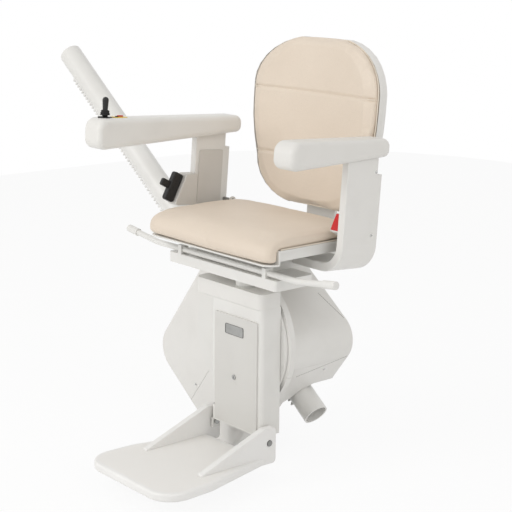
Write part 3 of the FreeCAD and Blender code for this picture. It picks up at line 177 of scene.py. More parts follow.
class Skin(Graph):
    """The node tree of one material, with a principled surface at its end."""

    def __init__(self, name: str) -> None:
        """Make a material with its output and surface nodes."""
        self.material = bpy.data.materials.new(name)
        self.material.use_nodes = True
        super().__init__(self.material.node_tree)
        self.output = self.tree.nodes.new("ShaderNodeOutputMaterial")
        self.surface = self.tree.nodes.new("ShaderNodeBsdfPrincipled")
        self.tree.links.new(self.surface.outputs[0], self.output.inputs["Surface"])

    def coordinates(self) -> Wire:
        """Give the object's own coordinates in metres."""
        return self.node("ShaderNodeTexCoord", {}, {}, "Object")

    def noise(self, scale: Number, detail: Number = 2.0, rough: Number = 0.5,
              place: "Wire | None" = None) -> Wire:
        """Give a noise value around 0.5.

        Args:
            scale: how many cells a metre has.
            detail: how many finer layers are added.
            rough: how strong the finer layers are.
            place: coordinates other than the object's own.

        Returns:
            The noise.
        """
        where = place if place is not None else self.coordinates()
        return self.node("ShaderNodeTexNoise", {},
                         {"Vector": where, "Scale": scale, "Detail": detail, "Roughness": rough},
                         "Fac")

    def cells(self, scale: Number, feature: str = "F1") -> Wire:
        """Give the distance to a scattered cell's middle or edge."""
        return self.node("ShaderNodeTexVoronoi", {"feature": feature},
                         {"Vector": self.coordinates(), "Scale": scale}, "Distance")

    def ramp(self, value: Operand, low: Number, high: Number) -> Wire:
        """Stretch a band of a value to 0 to 1."""
        dark, light = (0.0, 0.0, 0.0, 1.0), (1.0, 1.0, 1.0, 1.0)
        return self.node("ShaderNodeValToRGB", {"stops": [(low, dark), (high, light)]},
                         {"Fac": value})

    def blend(self, share: Operand, first: object, second: object) -> Wire:
        """Mix two colours, each a display colour or a wire."""
        ends = [linear(end) if isinstance(end, tuple) else end for end in (first, second)]
        return self.node("ShaderNodeMix", {"data_type": "RGBA"},
                         {"Factor": share, 6: ends[0], 7: ends[1]}, 2)

    def stretched(self, scale: Point) -> Wire:
        """Give the coordinates with each axis stretched."""
        return self.node("ShaderNodeVectorMath", {"operation": "MULTIPLY"},
                         {0: self.coordinates(), 1: scale})

    def relief(self, height: Wire, strength: Number, distance: Number,
               under: "Wire | None" = None) -> Wire:
        """Turn a height into a bumped normal.

        Args:
            height: the height, from 0 to 1.
            strength: how much of the bump shows.
            distance: the height of a full bump, in metres.
            under: another normal that this one lies on.

        Returns:
            The normal.
        """
        values = {"Height": height, "Strength": strength, "Distance": distance}
        if under is not None:
            values["Normal"] = under
        return self.node("ShaderNodeBump", {}, values)

    def finish(self, **sockets: object) -> bpy.types.Material:
        """Fill the surface's sockets.

        Args:
            sockets: the value or wire of each, its name with underscores for spaces.

        Returns:
            The material.
        """
        for key, value in sockets.items():
            if isinstance(value, tuple) and len(value) == 3:
                value = linear(value)
            self._put(self.surface.inputs[key.replace("_", " ")], value)
        return self.material


@dataclass(frozen=True)
class Moulding:
    """Moulded cover plastic or stoved paint: fine grain, faint clouding and handling marks."""

    name: str
    colour: Colour
    shade: Colour
    rough: float = 0.42
    grain: float = 1400.0
    grain_depth: float = 0.00006
    coat: float = 0.12
    dirt: float = 0.10

    def build(self) -> bpy.types.Material:
        """Make the material."""
        g = Skin(self.name)
        cloud = g.noise(3.5, 3.0, 0.55)
        tone = g.blend(g.ramp(cloud, 0.35, 0.7), self.colour, self.shade)
        smudge = g.ramp(g.noise(14.0, 5.0, 0.65), 0.52, 0.78)
        tone = g.blend(smudge * self.dirt, tone, tuple(0.86 * c for c in self.shade))
        grain = g.noise(self.grain, 2.0, 0.6)
        dimple = g.cells(self.grain * 0.7)
        normal = g.relief(grain * 0.6 + dimple * 0.4, 0.35, self.grain_depth)
        rough = cloud * 0.10 + smudge * 0.08 + (self.rough - 0.07)
        return g.finish(Base_Color=tone, Roughness=rough, Normal=normal, Coat_Weight=self.coat,
                        Coat_Roughness=0.25, Specular_IOR_Level=0.45)


@dataclass(frozen=True)
class Upholstery:
    """Soft grained leather-like cover with pores, fine creases and slightly darker hollows."""

    name: str
    colour: Colour
    shade: Colour
    rough: float = 0.5

    def build(self) -> bpy.types.Material:
        """Make the material."""
        g = Skin(self.name)
        pebble = g.cells(620.0)
        edges = g.cells(620.0, "DISTANCE_TO_EDGE")
        pore = g.ramp(edges, 0.0, 0.12)
        cloud = g.noise(5.0, 4.0, 0.6)
        crease = g.noise(34.0, 4.0, 0.62, g.stretched((1.0, 0.45, 1.6)))
        tone = g.blend(g.ramp(cloud, 0.3, 0.75), self.colour, self.shade)
        tone = g.blend((1 - pore) * 0.22, tone, tuple(0.82 * c for c in self.shade))
        fine = g.relief(pebble * 0.5 + pore * 0.5, 0.32, 0.0005)
        normal = g.relief(crease, 0.16, 0.004, fine)
        rough = (1 - pore) * 0.16 + cloud * 0.12 + (self.rough - 0.06)
        return g.finish(Base_Color=tone, Roughness=rough, Normal=normal, Coat_Weight=0.05,
                        Coat_Roughness=0.4, Specular_IOR_Level=0.4, Sheen_Weight=0.08)


@dataclass(frozen=True)
class Metal:
    """Machined, plated or brushed metal with fine marks along one axis."""

    name: str
    colour: Colour
    rough: float = 0.3
    marks: Point = (60.0, 900.0, 900.0)

    def build(self) -> bpy.types.Material:
        """Make the material."""
        g = Skin(self.name)
        streak = g.noise(1.0, 3.0, 0.6, g.stretched(self.marks))
        cloud = g.noise(22.0, 4.0, 0.6)
        tone = g.blend(g.ramp(cloud, 0.35, 0.75), self.colour, tuple(0.8 * c for c in self.colour))
        normal = g.relief(streak, 0.2, 0.0002)
        rough = streak * 0.16 + cloud * 0.12 + (self.rough - 0.12)
        return g.finish(Base_Color=tone, Roughness=rough, Normal=normal, Metallic=1.0)


@dataclass(frozen=True)
class Rubber:
    """Matt rubber or black grip plastic with fine speckle and dust in its grain."""

    name: str
    colour: Colour
    rough: float = 0.7
    dust: float = 0.10
    grain: float = 900.0

    def build(self) -> bpy.types.Material:
        """Make the material."""
        g = Skin(self.name)
        grain = g.noise(self.grain, 3.0, 0.6)
        dust = g.ramp(g.noise(26.0, 5.0, 0.7), 0.48, 0.8)
        pale = tuple(min(1.0, c + 0.22) for c in self.colour)
        tone = g.blend(dust * self.dust + grain * 0.05, self.colour, pale)
        normal = g.relief(grain, 0.4, 0.00018)
        rough = dust * 0.12 + grain * 0.1 + (self.rough - 0.08)
        return g.finish(Base_Color=tone, Roughness=rough, Normal=normal, Specular_IOR_Level=0.4)


class Finish(Enum):
    """Every finish on the chair, by the place it is used."""

    PAINT = Moulding("white_enamel", (0.905, 0.900, 0.885), (0.880, 0.873, 0.855), 0.36, 900.0,
                     0.00004, 0.2)
    COVER = Moulding("white_cover_moulding", (0.905, 0.898, 0.882), (0.885, 0.876, 0.858), 0.44)
    ARM = Moulding("arm_pad_moulding", (0.900, 0.893, 0.876), (0.878, 0.868, 0.848), 0.46, 1100.0,
                   0.00008)
    PANEL = Moulding("panel_moulding", (0.845, 0.838, 0.820), (0.822, 0.814, 0.795), 0.5)
    TRIM = Moulding("bracket_trim", (0.825, 0.812, 0.790), (0.800, 0.786, 0.762), 0.5)
    FOOT = Moulding("footplate_moulding", (0.945, 0.940, 0.930), (0.925, 0.918, 0.906), 0.5)
    NYLON = Moulding("roller_nylon", (0.84, 0.84, 0.82), (0.78, 0.78, 0.75), 0.5, 1600.0)
    BOARD = Moulding("circuit_board", (0.07, 0.30, 0.16), (0.05, 0.24, 0.12), 0.35)
    CREAM = Upholstery("cream_upholstery", (0.905, 0.850, 0.784), (0.880, 0.822, 0.754))
    PIPING = Upholstery("seam_thread", (0.925, 0.885, 0.825), (0.895, 0.850, 0.790), 0.6)
    STEEL = Metal("machined_steel", (0.63, 0.63, 0.62), 0.34)
    ALLOY = Metal("cast_alloy", (0.70, 0.70, 0.69), 0.42, (300.0, 300.0, 300.0))
    CHROME = Metal("plated_screw", (0.78, 0.78, 0.77), 0.2)
    BLACK = Rubber("black_plastic", (0.085, 0.083, 0.080), 0.5)
    RUBBER = Rubber("black_rubber", (0.065, 0.063, 0.060), 0.75)
    MAT = Rubber("pale_tread_rubber", (0.935, 0.926, 0.910), 0.66, 0.06, 500.0)
    YELLOW = Moulding("yellow_plate", (0.905, 0.775, 0.130), (0.875, 0.735, 0.100), 0.3)
    RED = Moulding("red_button", (0.80, 0.012, 0.010), (0.74, 0.008, 0.008), 0.55, coat=0.0,
                   dirt=0.04)
    # Grey of the cover's split joints: painted shade of the gaps between the cover's pieces.
    GAP_SHADE = Rubber("cover_gap_shade", (0.56, 0.55, 0.53), 0.7, 0.04)


class Finishes:
    """Builds each finish once and hands it out."""

    def __init__(self) -> None:
        """Start with nothing made."""
        self.made: dict[Finish, bpy.types.Material] = {}

    def get(self, finish: Finish) -> bpy.types.Material:
        """Give the material of a finish."""
        if finish not in self.made:
            self.made[finish] = finish.value.build()
        return self.made[finish]


# Mesh making

class Shape:
    """Gathers points and faces of one piece and turns them into an object."""

    def __init__(self, name: str, material: bpy.types.Material) -> None:
        """Start an empty piece with one material."""
        self.name = name
        self.material = material
        self.mesh = bmesh.new()

    def rings(self, rows: Sequence[Sequence[Vector]], closed: bool = True, caps: bool = True,
              loop: bool = False) -> "Shape":
        """Skin a run of equal rings.

        Args:
            rows: the rings, each a list of as many points.
            closed: whether each ring is a closed loop.
            caps: whether the first and last ring get a face.
            loop: whether the last ring joins the first.

        Returns:
            This shape.
        """
        made = [[self.mesh.verts.new(p) for p in row] for row in rows]
        count = len(made[0])
        runs = len(made) if loop else len(made) - 1
        for index in range(runs):
            first, second = made[index], made[(index + 1) % len(made)]
            for spot in range(count if closed else count - 1):
                after = (spot + 1) % count
                self.mesh.faces.new((first[spot], first[after], second[after], second[spot]))
        if caps and closed and not loop:
            self.mesh.faces.new(list(reversed(made[0])))
            self.mesh.faces.new(made[-1])
        return self

    def tube(self, path: Sequence[Vector], radius: float, sides: int) -> "Shape":
        """Skin a round bar along a path.

        Args:
            path: points along its middle.
            radius: its radius in metres.
            sides: points of each ring.

        Returns:
            This shape.
        """
        rows = []
        side = None
        for index, here in enumerate(path):
            ahead = path[min(index + 1, len(path) - 1)] - path[max(index - 1, 0)]
            ahead.normalize()
            if side is None:
                side = ahead.orthogonal().normalized()
            side = (side - ahead * side.dot(ahead)).normalized()
            up = ahead.cross(side)
            rows.append([here + side * across + up * high
                         for across, high in circle_points(radius, sides)])
        return self.rings(rows)

    def lathe(self, profile: Sequence[tuple[float, float]], place: Vector, axis: Vector,
              sides: int) -> "Shape":
        """Turn a profile about an axis.

        Args:
            profile: the radius and height of each ring.
            place: where the height is 0.
            axis: the way the height grows.
            sides: points of each ring.

        Returns:
            This shape.
        """
        axis = axis.normalized()
        side = axis.orthogonal().normalized()
        up = axis.cross(side)
        rows = []
        for radius, height in profile:
            rows.append([place + axis * height + side * across + up * high
                         for across, high in circle_points(radius, sides)])
        return self.rings(rows)

    def object(self, smooth: bool = True, rounds: int = 0) -> bpy.types.Object:
        """Finish the piece.

        Args:
            smooth: whether its faces are shaded smooth where they meet flatly.
            rounds: levels of subdivision.

        Returns:
            The new object.
        """
        bmesh.ops.remove_doubles(self.mesh, verts=self.mesh.verts, dist=1e-6)
        bmesh.ops.recalc_face_normals(self.mesh, faces=self.mesh.faces)
        data = bpy.data.meshes.new(self.name)
        self.mesh.to_mesh(data)
        self.mesh.free()
        data.materials.append(self.material)
        made = bpy.data.objects.new(self.name, data)
        bpy.context.scene.collection.objects.link(made)
        if rounds:
            tool = made.modifiers.new("rounds", "SUBSURF")
            tool.levels = tool.render_levels = rounds
        if smooth:
            soften(made)
        return made


def soften(piece: bpy.types.Object, angle: float = 35.0) -> None:
    """Shade a piece smooth where its faces meet at less than an angle."""
    piece.data.shade_smooth()
    piece.data.set_sharp_from_angle(angle=math.radians(angle))


def circle_points(radius: float, sides: int) -> list[tuple[float, float]]:
    """Give the points of a circle."""
    turns = [math.tau * k / sides for k in range(sides)]
    return [(radius * math.cos(t), radius * math.sin(t)) for t in turns]


def drawn_in(reach: float, radius: float) -> float:
    """Give how far a quarter round has drawn in.

    Args:
        reach: how far into the round the place is.
        radius: the round's radius.

    Returns:
        The distance from the outline without the round.
    """
    reach = min(max(reach, 0.0), radius)
    return radius - math.sqrt(max(radius * radius - reach * reach, 0.0))


def rounded_outline(corners: Sequence[tuple[float, float, float]],
                    steps: int = 8) -> list[tuple[float, float]]:
    """Round the corners of an outline.

    Args:
        corners: (x, y, radius) of each corner in order.
        steps: points of each rounded corner.

    Returns:
        The outline's points.
    """
    points = []
    count = len(corners)
    for index, (x, y, radius) in enumerate(corners):
        here = Vector((x, y))
        back = (Vector(corners[index - 1][:2]) - here).normalized()
        ahead = (Vector(corners[(index + 1) % count][:2]) - here).normalized()
        half = back.angle(ahead) / 2
        if radius <= 0:
            points.append((x, y))
            continue
        middle = here + (back + ahead).normalized() * (radius / math.sin(half))
        first = here + back * (radius / math.tan(half)) - middle
        last = here + ahead * (radius / math.tan(half)) - middle
        for step in range(steps + 1):
            share = step / steps
            bend = first.lerp(last, share).normalized() * radius
            points.append(tuple(middle + bend))
    return points


class Leaned:
    """The leaning frame of the arms and the backrest, in metres."""

    turn = Matrix.Rotation(math.radians(-4.2), 4, "X")
    origin = Vector((-0.065, -0.060, 0.400))

    @classmethod
    def at(cls, x: float, y: float, z: float) -> Vector:
        """Turn a place in the leaning frame into one in the row frame."""
        return cls.origin + (cls.turn @ Vector((x, y, z)))

    @classmethod
    def along(cls, x: float, y: float, z: float) -> Vector:
        """Turn a direction in the leaning frame into one in the row frame."""
        return cls.turn @ Vector((x, y, z))

    @classmethod
    def local(cls, place: Vector) -> Vector:
        """Turn a place in the row frame into one in the leaning frame."""
        return cls.turn.inverted() @ (place - cls.origin)


def place_piece(piece: bpy.types.Object, body: str) -> None:
    """Let a piece ride on a body and log the body it rides on."""
    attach(piece, body)
    log.info("%s rides on %s", piece.name, body)


def plump(piece: bpy.types.Object, voxel: float, pressure: float, cap: float,
          steps: int = 16) -> None:
    """Swell a closed piece as stuffed fabric, with a limit on how far a point may move.

    Args:
        piece: the object; its mesh is remeshed and changed.
        voxel: the size of the new faces in metres.
        pressure: the cloth's inner pressure.
        cap: the furthest that a point may move, in metres.
        steps: frames of simulation.
    """
    tool = piece.modifiers.new("remesh", "REMESH")
    tool.mode = "VOXEL"
    tool.voxel_size = voxel
    bake_modifiers(piece)
    before = [v.co.copy() for v in piece.data.vertices]
    cloth = piece.modifiers.new("stuffing", "CLOTH")
    cloth.settings.use_pressure = True
    cloth.settings.uniform_pressure_force = pressure
    cloth.settings.tension_stiffness = 40
    cloth.settings.compression_stiffness = 40
    cloth.settings.shear_stiffness = 20
    cloth.settings.quality = 4
    cloth.settings.effector_weights.gravity = 0.0
    cloth.point_cache.frame_end = steps
    for step in range(1, steps + 1):
        bpy.context.scene.frame_set(step)
    bake_modifiers(piece)
    bpy.context.scene.frame_set(1)
    for vertex, old in zip(piece.data.vertices, before):
        shift = vertex.co - old
        if shift.length > cap:
            vertex.co = old + shift.normalized() * cap


def bake_modifiers(piece: bpy.types.Object) -> None:
    """Replace a piece's mesh by the one its modifiers make.

    Args:
        piece: the object; its modifiers are removed.
    """
    graph = bpy.context.evaluated_depsgraph_get()
    shaped = bpy.data.meshes.new_from_object(piece.evaluated_get(graph))
    piece.modifiers.clear()
    old = piece.data
    piece.data = shaped
    bpy.data.meshes.remove(old)


# Sub-assemblies

@dataclass
class CadDresser:
    """Gives every CAD node that stays its finish and its smooth shading."""

    finishes: Finishes
    plan: dict[str, Finish] = field(default_factory=lambda: {
        "rail_tube": Finish.PAINT, "rail_rack": Finish.PAINT, "main_cover": Finish.COVER,
        "downhill_cover": Finish.COVER, "chassis_plate": Finish.STEEL,
        "uphill_top_roller": Finish.NYLON, "uphill_lower_spool": Finish.NYLON,
        "downhill_top_roller": Finish.NYLON, "downhill_lower_spool": Finish.NYLON,
        "roller_axles": Finish.STEEL, "drive_pinion": Finish.STEEL, "gearbox": Finish.ALLOY,
        "drive_motor": Finish.BLACK, "batteries": Finish.BLACK, "control_board": Finish.BOARD,
        "levelling_bearing": Finish.STEEL, "levelling_gear": Finish.STEEL,
        "levelling_disc": Finish.PAINT, "levelling_pinion": Finish.STEEL,
        "levelling_motor": Finish.ALLOY, "column_shell": Finish.PAINT,
        "front_panel": Finish.PANEL, "blank_badge": Finish.ALLOY, "panel_lock": Finish.CHROME,
        "column_collar": Finish.COVER, "swivel_spindle": Finish.STEEL,
        "swivel_bearing": Finish.NYLON, "post_backbone": Finish.STEEL, "footplate": Finish.FOOT,
        "footplate_mat": Finish.MAT, "footplate_pins": Finish.STEEL, "swivel_hub": Finish.PAINT,
        "swivel_plate": Finish.PAINT, "seat_frame": Finish.PAINT, "lever_bar": Finish.PAINT,
        "lever_grips": Finish.PAINT, "seat_cushion": Finish.CREAM, "seat_pan": Finish.PAINT,
        "seat_hinge_pins": Finish.STEEL, "seat_rests": Finish.RUBBER,
        "right_arm_bracket": Finish.COVER, "left_arm_bracket": Finish.COVER,
        "right_armrest": Finish.ARM, "left_armrest": Finish.ARM, "arm_trims": Finish.TRIM,
        "arm_pins": Finish.STEEL, "joystick_collar": Finish.BLACK,
        "joystick_boot": Finish.RUBBER, "joystick_stick": Finish.BLACK,
        "control_plate": Finish.YELLOW, "power_button": Finish.RED, "key_switch": Finish.BLACK,
        "back_cushion": Finish.CREAM, "back_shell": Finish.COVER, "back_post": Finish.PAINT,
        "belt_retractor": Finish.TRIM, "belt_tongue": Finish.BLACK,
        "buckle_body": Finish.COVER, "buckle_button": Finish.RED, "buckle_pin": Finish.STEEL,
    })

    def build(self) -> None:
        """Dress the nodes."""
        for name, finish in self.plan.items():
            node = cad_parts[name]
            node.data.materials.clear()
            node.data.materials.append(self.finishes.get(finish))
            soften(node, 30.0)
        missing = sorted(set(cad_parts) - set(self.plan))
        if missing:
            raise ValueError(f"nodes without a finish: {missing}")
        log.info("dressed %d CAD nodes", len(self.plan))


@dataclass
class SeatCushion:
    """The crowned seat cushion, whose front rolls down over the pan's apron."""

    finishes: Finishes
    half: float = 0.218
    front: float = -0.298
    rear: float = -0.002
    middle_x: float = -0.065
    top: float = 0.497
    floor: float = 0.4693
    nose: float = 0.440
    apron: float = 0.0337
    edge: float = 0.014
    corner: float = 0.037
    edge_seam: float = 0.0016

    def section(self, x: float, steps: int) -> list[Vector]:
        """Give the cushion's side view at one place across it.

        Args:
            x: distance from its middle.
            steps: points along each of its bends.

        Returns:
            The closed outline's points.
        """
        side = drawn_in(abs(x) - (self.half - self.edge), self.edge)
        plan = drawn_in(abs(x) - (self.half - self.corner), self.corner)
        share = abs(x) / self.half
        step = self.front + self.apron
        nose = self.nose + 0.4 * side
        top = self.top - 0.004 * share * share - 0.82 * side
        front = self.front + 0.6 * plan
        rear = self.rear - 0.7 * plan
        rise = top - self.floor
        drop = top - nose
        crest = front + 0.066
        knots = [(rear, self.floor), (rear + 0.0008, self.floor + 0.32 * rise),
                 (rear - 0.002, self.floor + 0.6 * rise), (rear - 0.008, self.floor + 0.76 * rise),
                 (rear - 0.026, self.floor + 0.88 * rise), ((rear + crest) / 2 + 0.04, top - 0.001),
                 ((rear + crest) / 2 - 0.03, top), (crest, top - 0.03 * drop),
                 (front + 0.042, top - 0.09 * drop), (front + 0.021, top - 0.20 * drop),
                 (front + 0.007, top - 0.36 * drop), (front + 0.001, nose + 0.42 * drop),
                 (front + 0.001, nose + 0.19 * drop),
                 (front + 0.12 * (step - front), nose + 0.05 * drop),
                 (front + 0.4 * (step - front), nose)]
        curve = smooth_path([Vector((0.0, y, z)) for y, z in knots], steps)
        outline = [(p.y, p.z) for p in curve] + [(step, nose), (step, self.floor)]
        return [Vector((self.middle_x + x, y, z)) for y, z in outline]

    def places(self) -> list[float]:
        """Give the distances from the middle at which sections are made."""
        share = [0.0, 0.12, 0.24, 0.36, 0.48, 0.6, 0.7, 0.78, 0.84, 0.89, 0.925, 0.95, 0.968,
                 0.982, 0.992, 0.997]
        return [-self.half * s for s in reversed(share[1:])] + [self.half * s for s in share]

    def build(self) -> None:
        """Make the cushion and its edge piping."""
        body = Shape("seat_cushion_cover", self.finishes.get(Finish.CREAM))
        body.rings([self.section(x, 4) for x in self.places()])
        piece = body.object(smooth=False)
        plump(piece, 0.0055, 2.0, 0.004)
        self.keep_inside(piece)
        finish_soft(piece)
        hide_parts("seat_cushion")
        place_piece(piece, "seat")
        self.add_piping()

    def keep_inside(self, piece: bpy.types.Object) -> None:
        """Press the cushion back to its seat on the pan and to its width.

        Args:
            piece: the cushion, whose points are moved.
        """
        step = self.front + self.apron
        for vertex in piece.data.vertices:
            spot = vertex.co
            spot.x = min(max(spot.x, self.middle_x - self.half), self.middle_x + self.half)
            spot.y = min(spot.y, self.rear + 0.002)
            if spot.y > step:
                spot.z = max(spot.z, self.floor)
            elif spot.z < self.floor:
                spot.y = min(spot.y, step)
            spot.z = max(spot.z, self.nose)

    def add_piping(self) -> None:
        """Make the pale welt along each side of the cushion's lower edge."""
        height = self.floor + self.edge_seam
        for side, word in ((1, "left"), (-1, "right")):
            x = side * (self.half - self.edge_seam - 0.0002)
            outline = self.section(x, 4)
            run = [round(p.y, 4) for p in outline if p.y > self.front + self.apron + 0.004]
            first, last = min(run), max(run)
            row = [Vector((self.middle_x + x, first + (last - first) * k / 12, height))
                   for k in range(13)]
            welt = Shape(f"seat_welt_{word}", self.finishes.get(Finish.PIPING))
            welt.tube(row, self.edge_seam, 10)
            place_piece(welt.object(), "seat")


def smooth_path(knots: Sequence[Vector], steps: int) -> list[Vector]:
    """Run a smooth curve through its knots.

    Args:
        knots: the points to pass.
        steps: points between each two.

    Returns:
        Points along the curve, ends included.
    """
    path = []
    last = len(knots) - 1
    for index in range(last):
        a = knots[max(index - 1, 0)]
        b, c = knots[index], knots[index + 1]
        e = knots[min(index + 2, last)]
        for step in range(steps):
            t = step / steps
            path.append(0.5 * ((2 * b) + (c - a) * t + (2 * a - 5 * b + 4 * c - e) * t * t
                               + (3 * b - a - 3 * c + e) * t ** 3))
    path.append(knots[-1].copy())
    return path


def finish_soft(piece: bpy.types.Object) -> None:
    """Relax a swollen mesh a little, subdivide it once and shade it smooth.

    Args:
        piece: the object whose mesh is replaced.
    """
    tool = piece.modifiers.new("relax", "SMOOTH")
    tool.factor = 0.5
    tool.iterations = 1
    rounds = piece.modifiers.new("rounds", "SUBSURF")
    rounds.levels = rounds.render_levels = 1
    bake_modifiers(piece)
    piece.data.shade_smooth()


@dataclass
class Backrest:
    """The hollowed back cushion with its two sewn channels and its border welt."""

    finishes: Finishes
    foot_half: float = 0.186
    full_half: float = 0.207
    low: float = 0.104
    high: float = 0.503
    low_corner: float = 0.105
    head_corner: float = 0.121
    side_y: float = 0.050
    hollow: float = 0.026
    thick: float = 0.034
    front_round: float = 0.015
    seams: tuple[float, float] = (0.221, 0.375)
    seam_depth: float = 0.0048
    seam_wide: float = 0.0042
    thread: float = 0.0011
    welt: float = 0.0017

    def half_at(self, z: float) -> float:
        """Give half the backrest's width.

        Args:
            z: a height in the leaning frame.

        Returns:
            Half the width there.
        """
        foot_top = self.low + self.low_corner
        share = min(max((z - foot_top) / 0.130, 0.0), 1.0)
        half = self.foot_half + (self.full_half - self.foot_half) * math.sin(share * math.pi / 2)
        if z < foot_top:
            rise = (foot_top - z) / self.low_corner
            half = self.foot_half - 0.125 * (1 - math.sqrt(max(1 - rise * rise, 0.0)))
        head = self.high - self.head_corner
        if z > head:
            rise = (z - head) / self.head_corner
            half = self.full_half - 0.172 * (1 - math.sqrt(max(1 - rise * rise, 0.0)))
        return half

    def face_at(self, x: float, z: float) -> float:
        """Give the depth of the front face, without the rounding of its edge.

        Args:
            x: distance from the middle.
            z: a height in the leaning frame.

        Returns:
            The depth there.
        """
        half = self.half_at(z)
        side = self.side_y + self.hollow * (1 - (half / self.full_half) ** 2)
        middle = self.side_y + self.hollow
        return middle - (middle - side) * (x / half) ** 2

    def rounded_face(self, x: float, z: float) -> float:
        """Give the depth of the front face with its rounded edge.

        Args:
            x: distance from the middle.
            z: a height in the leaning frame.

        Returns:
            The depth there.
        """
        edge = min(z - self.low, self.high - z, self.half_at(z) - abs(x))
        return self.face_at(x, z) + 0.92 * drawn_in(self.front_round - edge, self.front_round)

    def section(self, z: float) -> list[Vector]:
        """Give the outline of the cushion at one height.

        Args:
            z: a height in the leaning frame.

        Returns:
            The closed outline's points.
        """
        half = self.half_at(z) * 0.994
        turns = [math.pi * (k / 28 - 0.5) for k in range(29)]
        across = [half * math.sin(t) for t in turns]
        front = [(x, self.rounded_face(x, z)) for x in across]
        rear = [(x * 0.985, self.face_at(x * 0.985, z) + self.thick) for x in reversed(across)]
        return [Leaned.at(x, y, z) for x, y in front + rear]

    def levels(self) -> list[float]:
        """Give the heights of the sections, closer at the head and the foot."""
        foot = [self.low + step for step in (0.0006, 0.003, 0.007, 0.013, 0.022, 0.034, 0.05,
                                             0.07, 0.095)]
        head = [self.high - step for step in (0.0006, 0.002, 0.005, 0.01, 0.017, 0.027, 0.04,
                                              0.057, 0.078, 0.104)]
        body = [0.225 + 0.02 * step for step in range(8)]
        return sorted(foot + body + head)

    def build(self) -> None:
        """Make the cushion, the threads of its channels and its border."""
        body = Shape("back_cushion_cover", self.finishes.get(Finish.CREAM))
        body.rings([self.section(z) for z in self.levels()])
        piece = body.object(smooth=False)
        plump(piece, 0.0055, 2.4, 0.005)
        finish_soft(piece)
        self.press_channels(piece)
        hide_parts("back_cushion")
        place_piece(piece, "chair")
        for word, seam in zip(("lower", "upper"), self.seams):
            self.add_thread(word, seam)
        self.add_border()

    def press_channels(self, piece: bpy.types.Object) -> None:
        """Sew the channels into the face and keep the swelling within its room.

        Args:
            piece: the cushion, whose points are moved.
        """
        for vertex in piece.data.vertices:
            spot = Leaned.local(vertex.co)
            face = self.rounded_face(max(min(spot.x, 0.99 * self.half_at(spot.z)),
                                         -0.99 * self.half_at(spot.z)), spot.z)
            rear = self.side_y + self.hollow + self.thick
            if spot.y < face + 0.012:
                for seam in self.seams:
                    reach = (spot.z - seam) / self.seam_wide
                    spot.y += self.seam_depth * math.exp(-reach * reach)
            spot.y = min(max(spot.y, face - 0.004), rear)
            vertex.co = Leaned.at(*spot)

    def add_thread(self, word: str, seam: float) -> None:
        """Lay the pale thread of one sewn channel.

        Args:
            word: which channel it is.
            seam: its height in the leaning frame.
        """
        half = self.half_at(seam) * 0.985
        row = []
        for step in range(49):
            x = half * (2 * step / 48 - 1)
            depth = self.rounded_face(x, seam) + self.seam_depth - 0.0012
            row.append(Leaned.at(x, depth, seam))
        thread = Shape(f"back_channel_{word}", self.finishes.get(Finish.PIPING))
        thread.tube(row, self.thread, 8)
        place_piece(thread.object(), "chair")

    def add_border(self) -> None:
        """Lay the welt where the cushion meets its shell."""
        row = []
        heights = [self.low + 0.004 + (self.high - self.low - 0.008) * (0.5 - 0.5 * math.cos(
            math.pi * k / 60)) for k in range(61)]
        for side in (1, -1):
            for z in (heights if side > 0 else reversed(heights)):
                half = self.half_at(z) + 0.0004
                depth = self.face_at(half, z) + 0.0175
                row.append(Leaned.at(side * half, depth, z))
        welt = Shape("back_border_welt", self.finishes.get(Finish.PIPING))
        rings = []
        for index, here in enumerate(row):
            ahead = (row[(index + 1) % len(row)] - row[index - 1]).normalized()
            deep = Leaned.along(0, 1, 0)
            out = ahead.cross(deep).normalized()
            deep = out.cross(ahead).normalized()
            rings.append([here + out * across + deep * high
                          for across, high in circle_points(self.welt, 8)])
        welt.rings(rings, loop=True)
        place_piece(welt.object(), "chair")


@dataclass
class Badge:
    """The thin dark rim of the bare plate on the post's panel."""

    finishes: Finishes
    wire: float = 0.0007
    corner: float = 0.003

    def build(self) -> None:
        """Run the rim round the plate's front."""
        low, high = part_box("blank_badge")
        outline = rounded_outline([(low.x, low.z, self.corner), (high.x, low.z, self.corner),
                                   (high.x, high.z, self.corner), (low.x, high.z, self.corner)])
        rows = []
        middle = Vector(((low.x + high.x) / 2, low.y, (low.z + high.z) / 2))
        deep = Vector((0.0, 1.0, 0.0))
        for x, z in outline:
            here = Vector((x, low.y, z))
            out = (here - middle).normalized()
            rows.append([here + out * across + deep * high
                         for across, high in circle_points(self.wire, 8)])
        rim = Shape("badge_rim", self.finishes.get(Finish.BLACK))
        rim.rings(rows, loop=True)
        place_piece(rim.object(), "post")


@dataclass
class Joystick:
    """The folded rubber boot of the joystick."""

    finishes: Finishes
    x: float = -0.25125
    y: float = -0.346
    base: float = 0.2965
    throat: float = 0.0048

    def build(self) -> None:
        """Turn the boot's folds."""
        folds = [(0.0120, 0.0), (0.0121, 0.0011), (0.0108, 0.0026), (0.0099, 0.0036),
                 (0.0112, 0.0047), (0.0109, 0.0058), (0.0096, 0.0068), (0.0089, 0.0076),
                 (0.0101, 0.0087), (0.0098, 0.0098), (0.0086, 0.0110), (0.0078, 0.0119)]
        profile = [(self.throat, 0.0002)] + folds + [(self.throat, 0.0121)]
        boot = Shape("joystick_bellows", self.finishes.get(Finish.RUBBER))
        boot.lathe(profile, Leaned.at(self.x, self.y, self.base), Leaned.along(0, 0, 1), 48)
        piece = boot.object(rounds=1)
        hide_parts("joystick_boot")
        place_piece(piece, "stick")


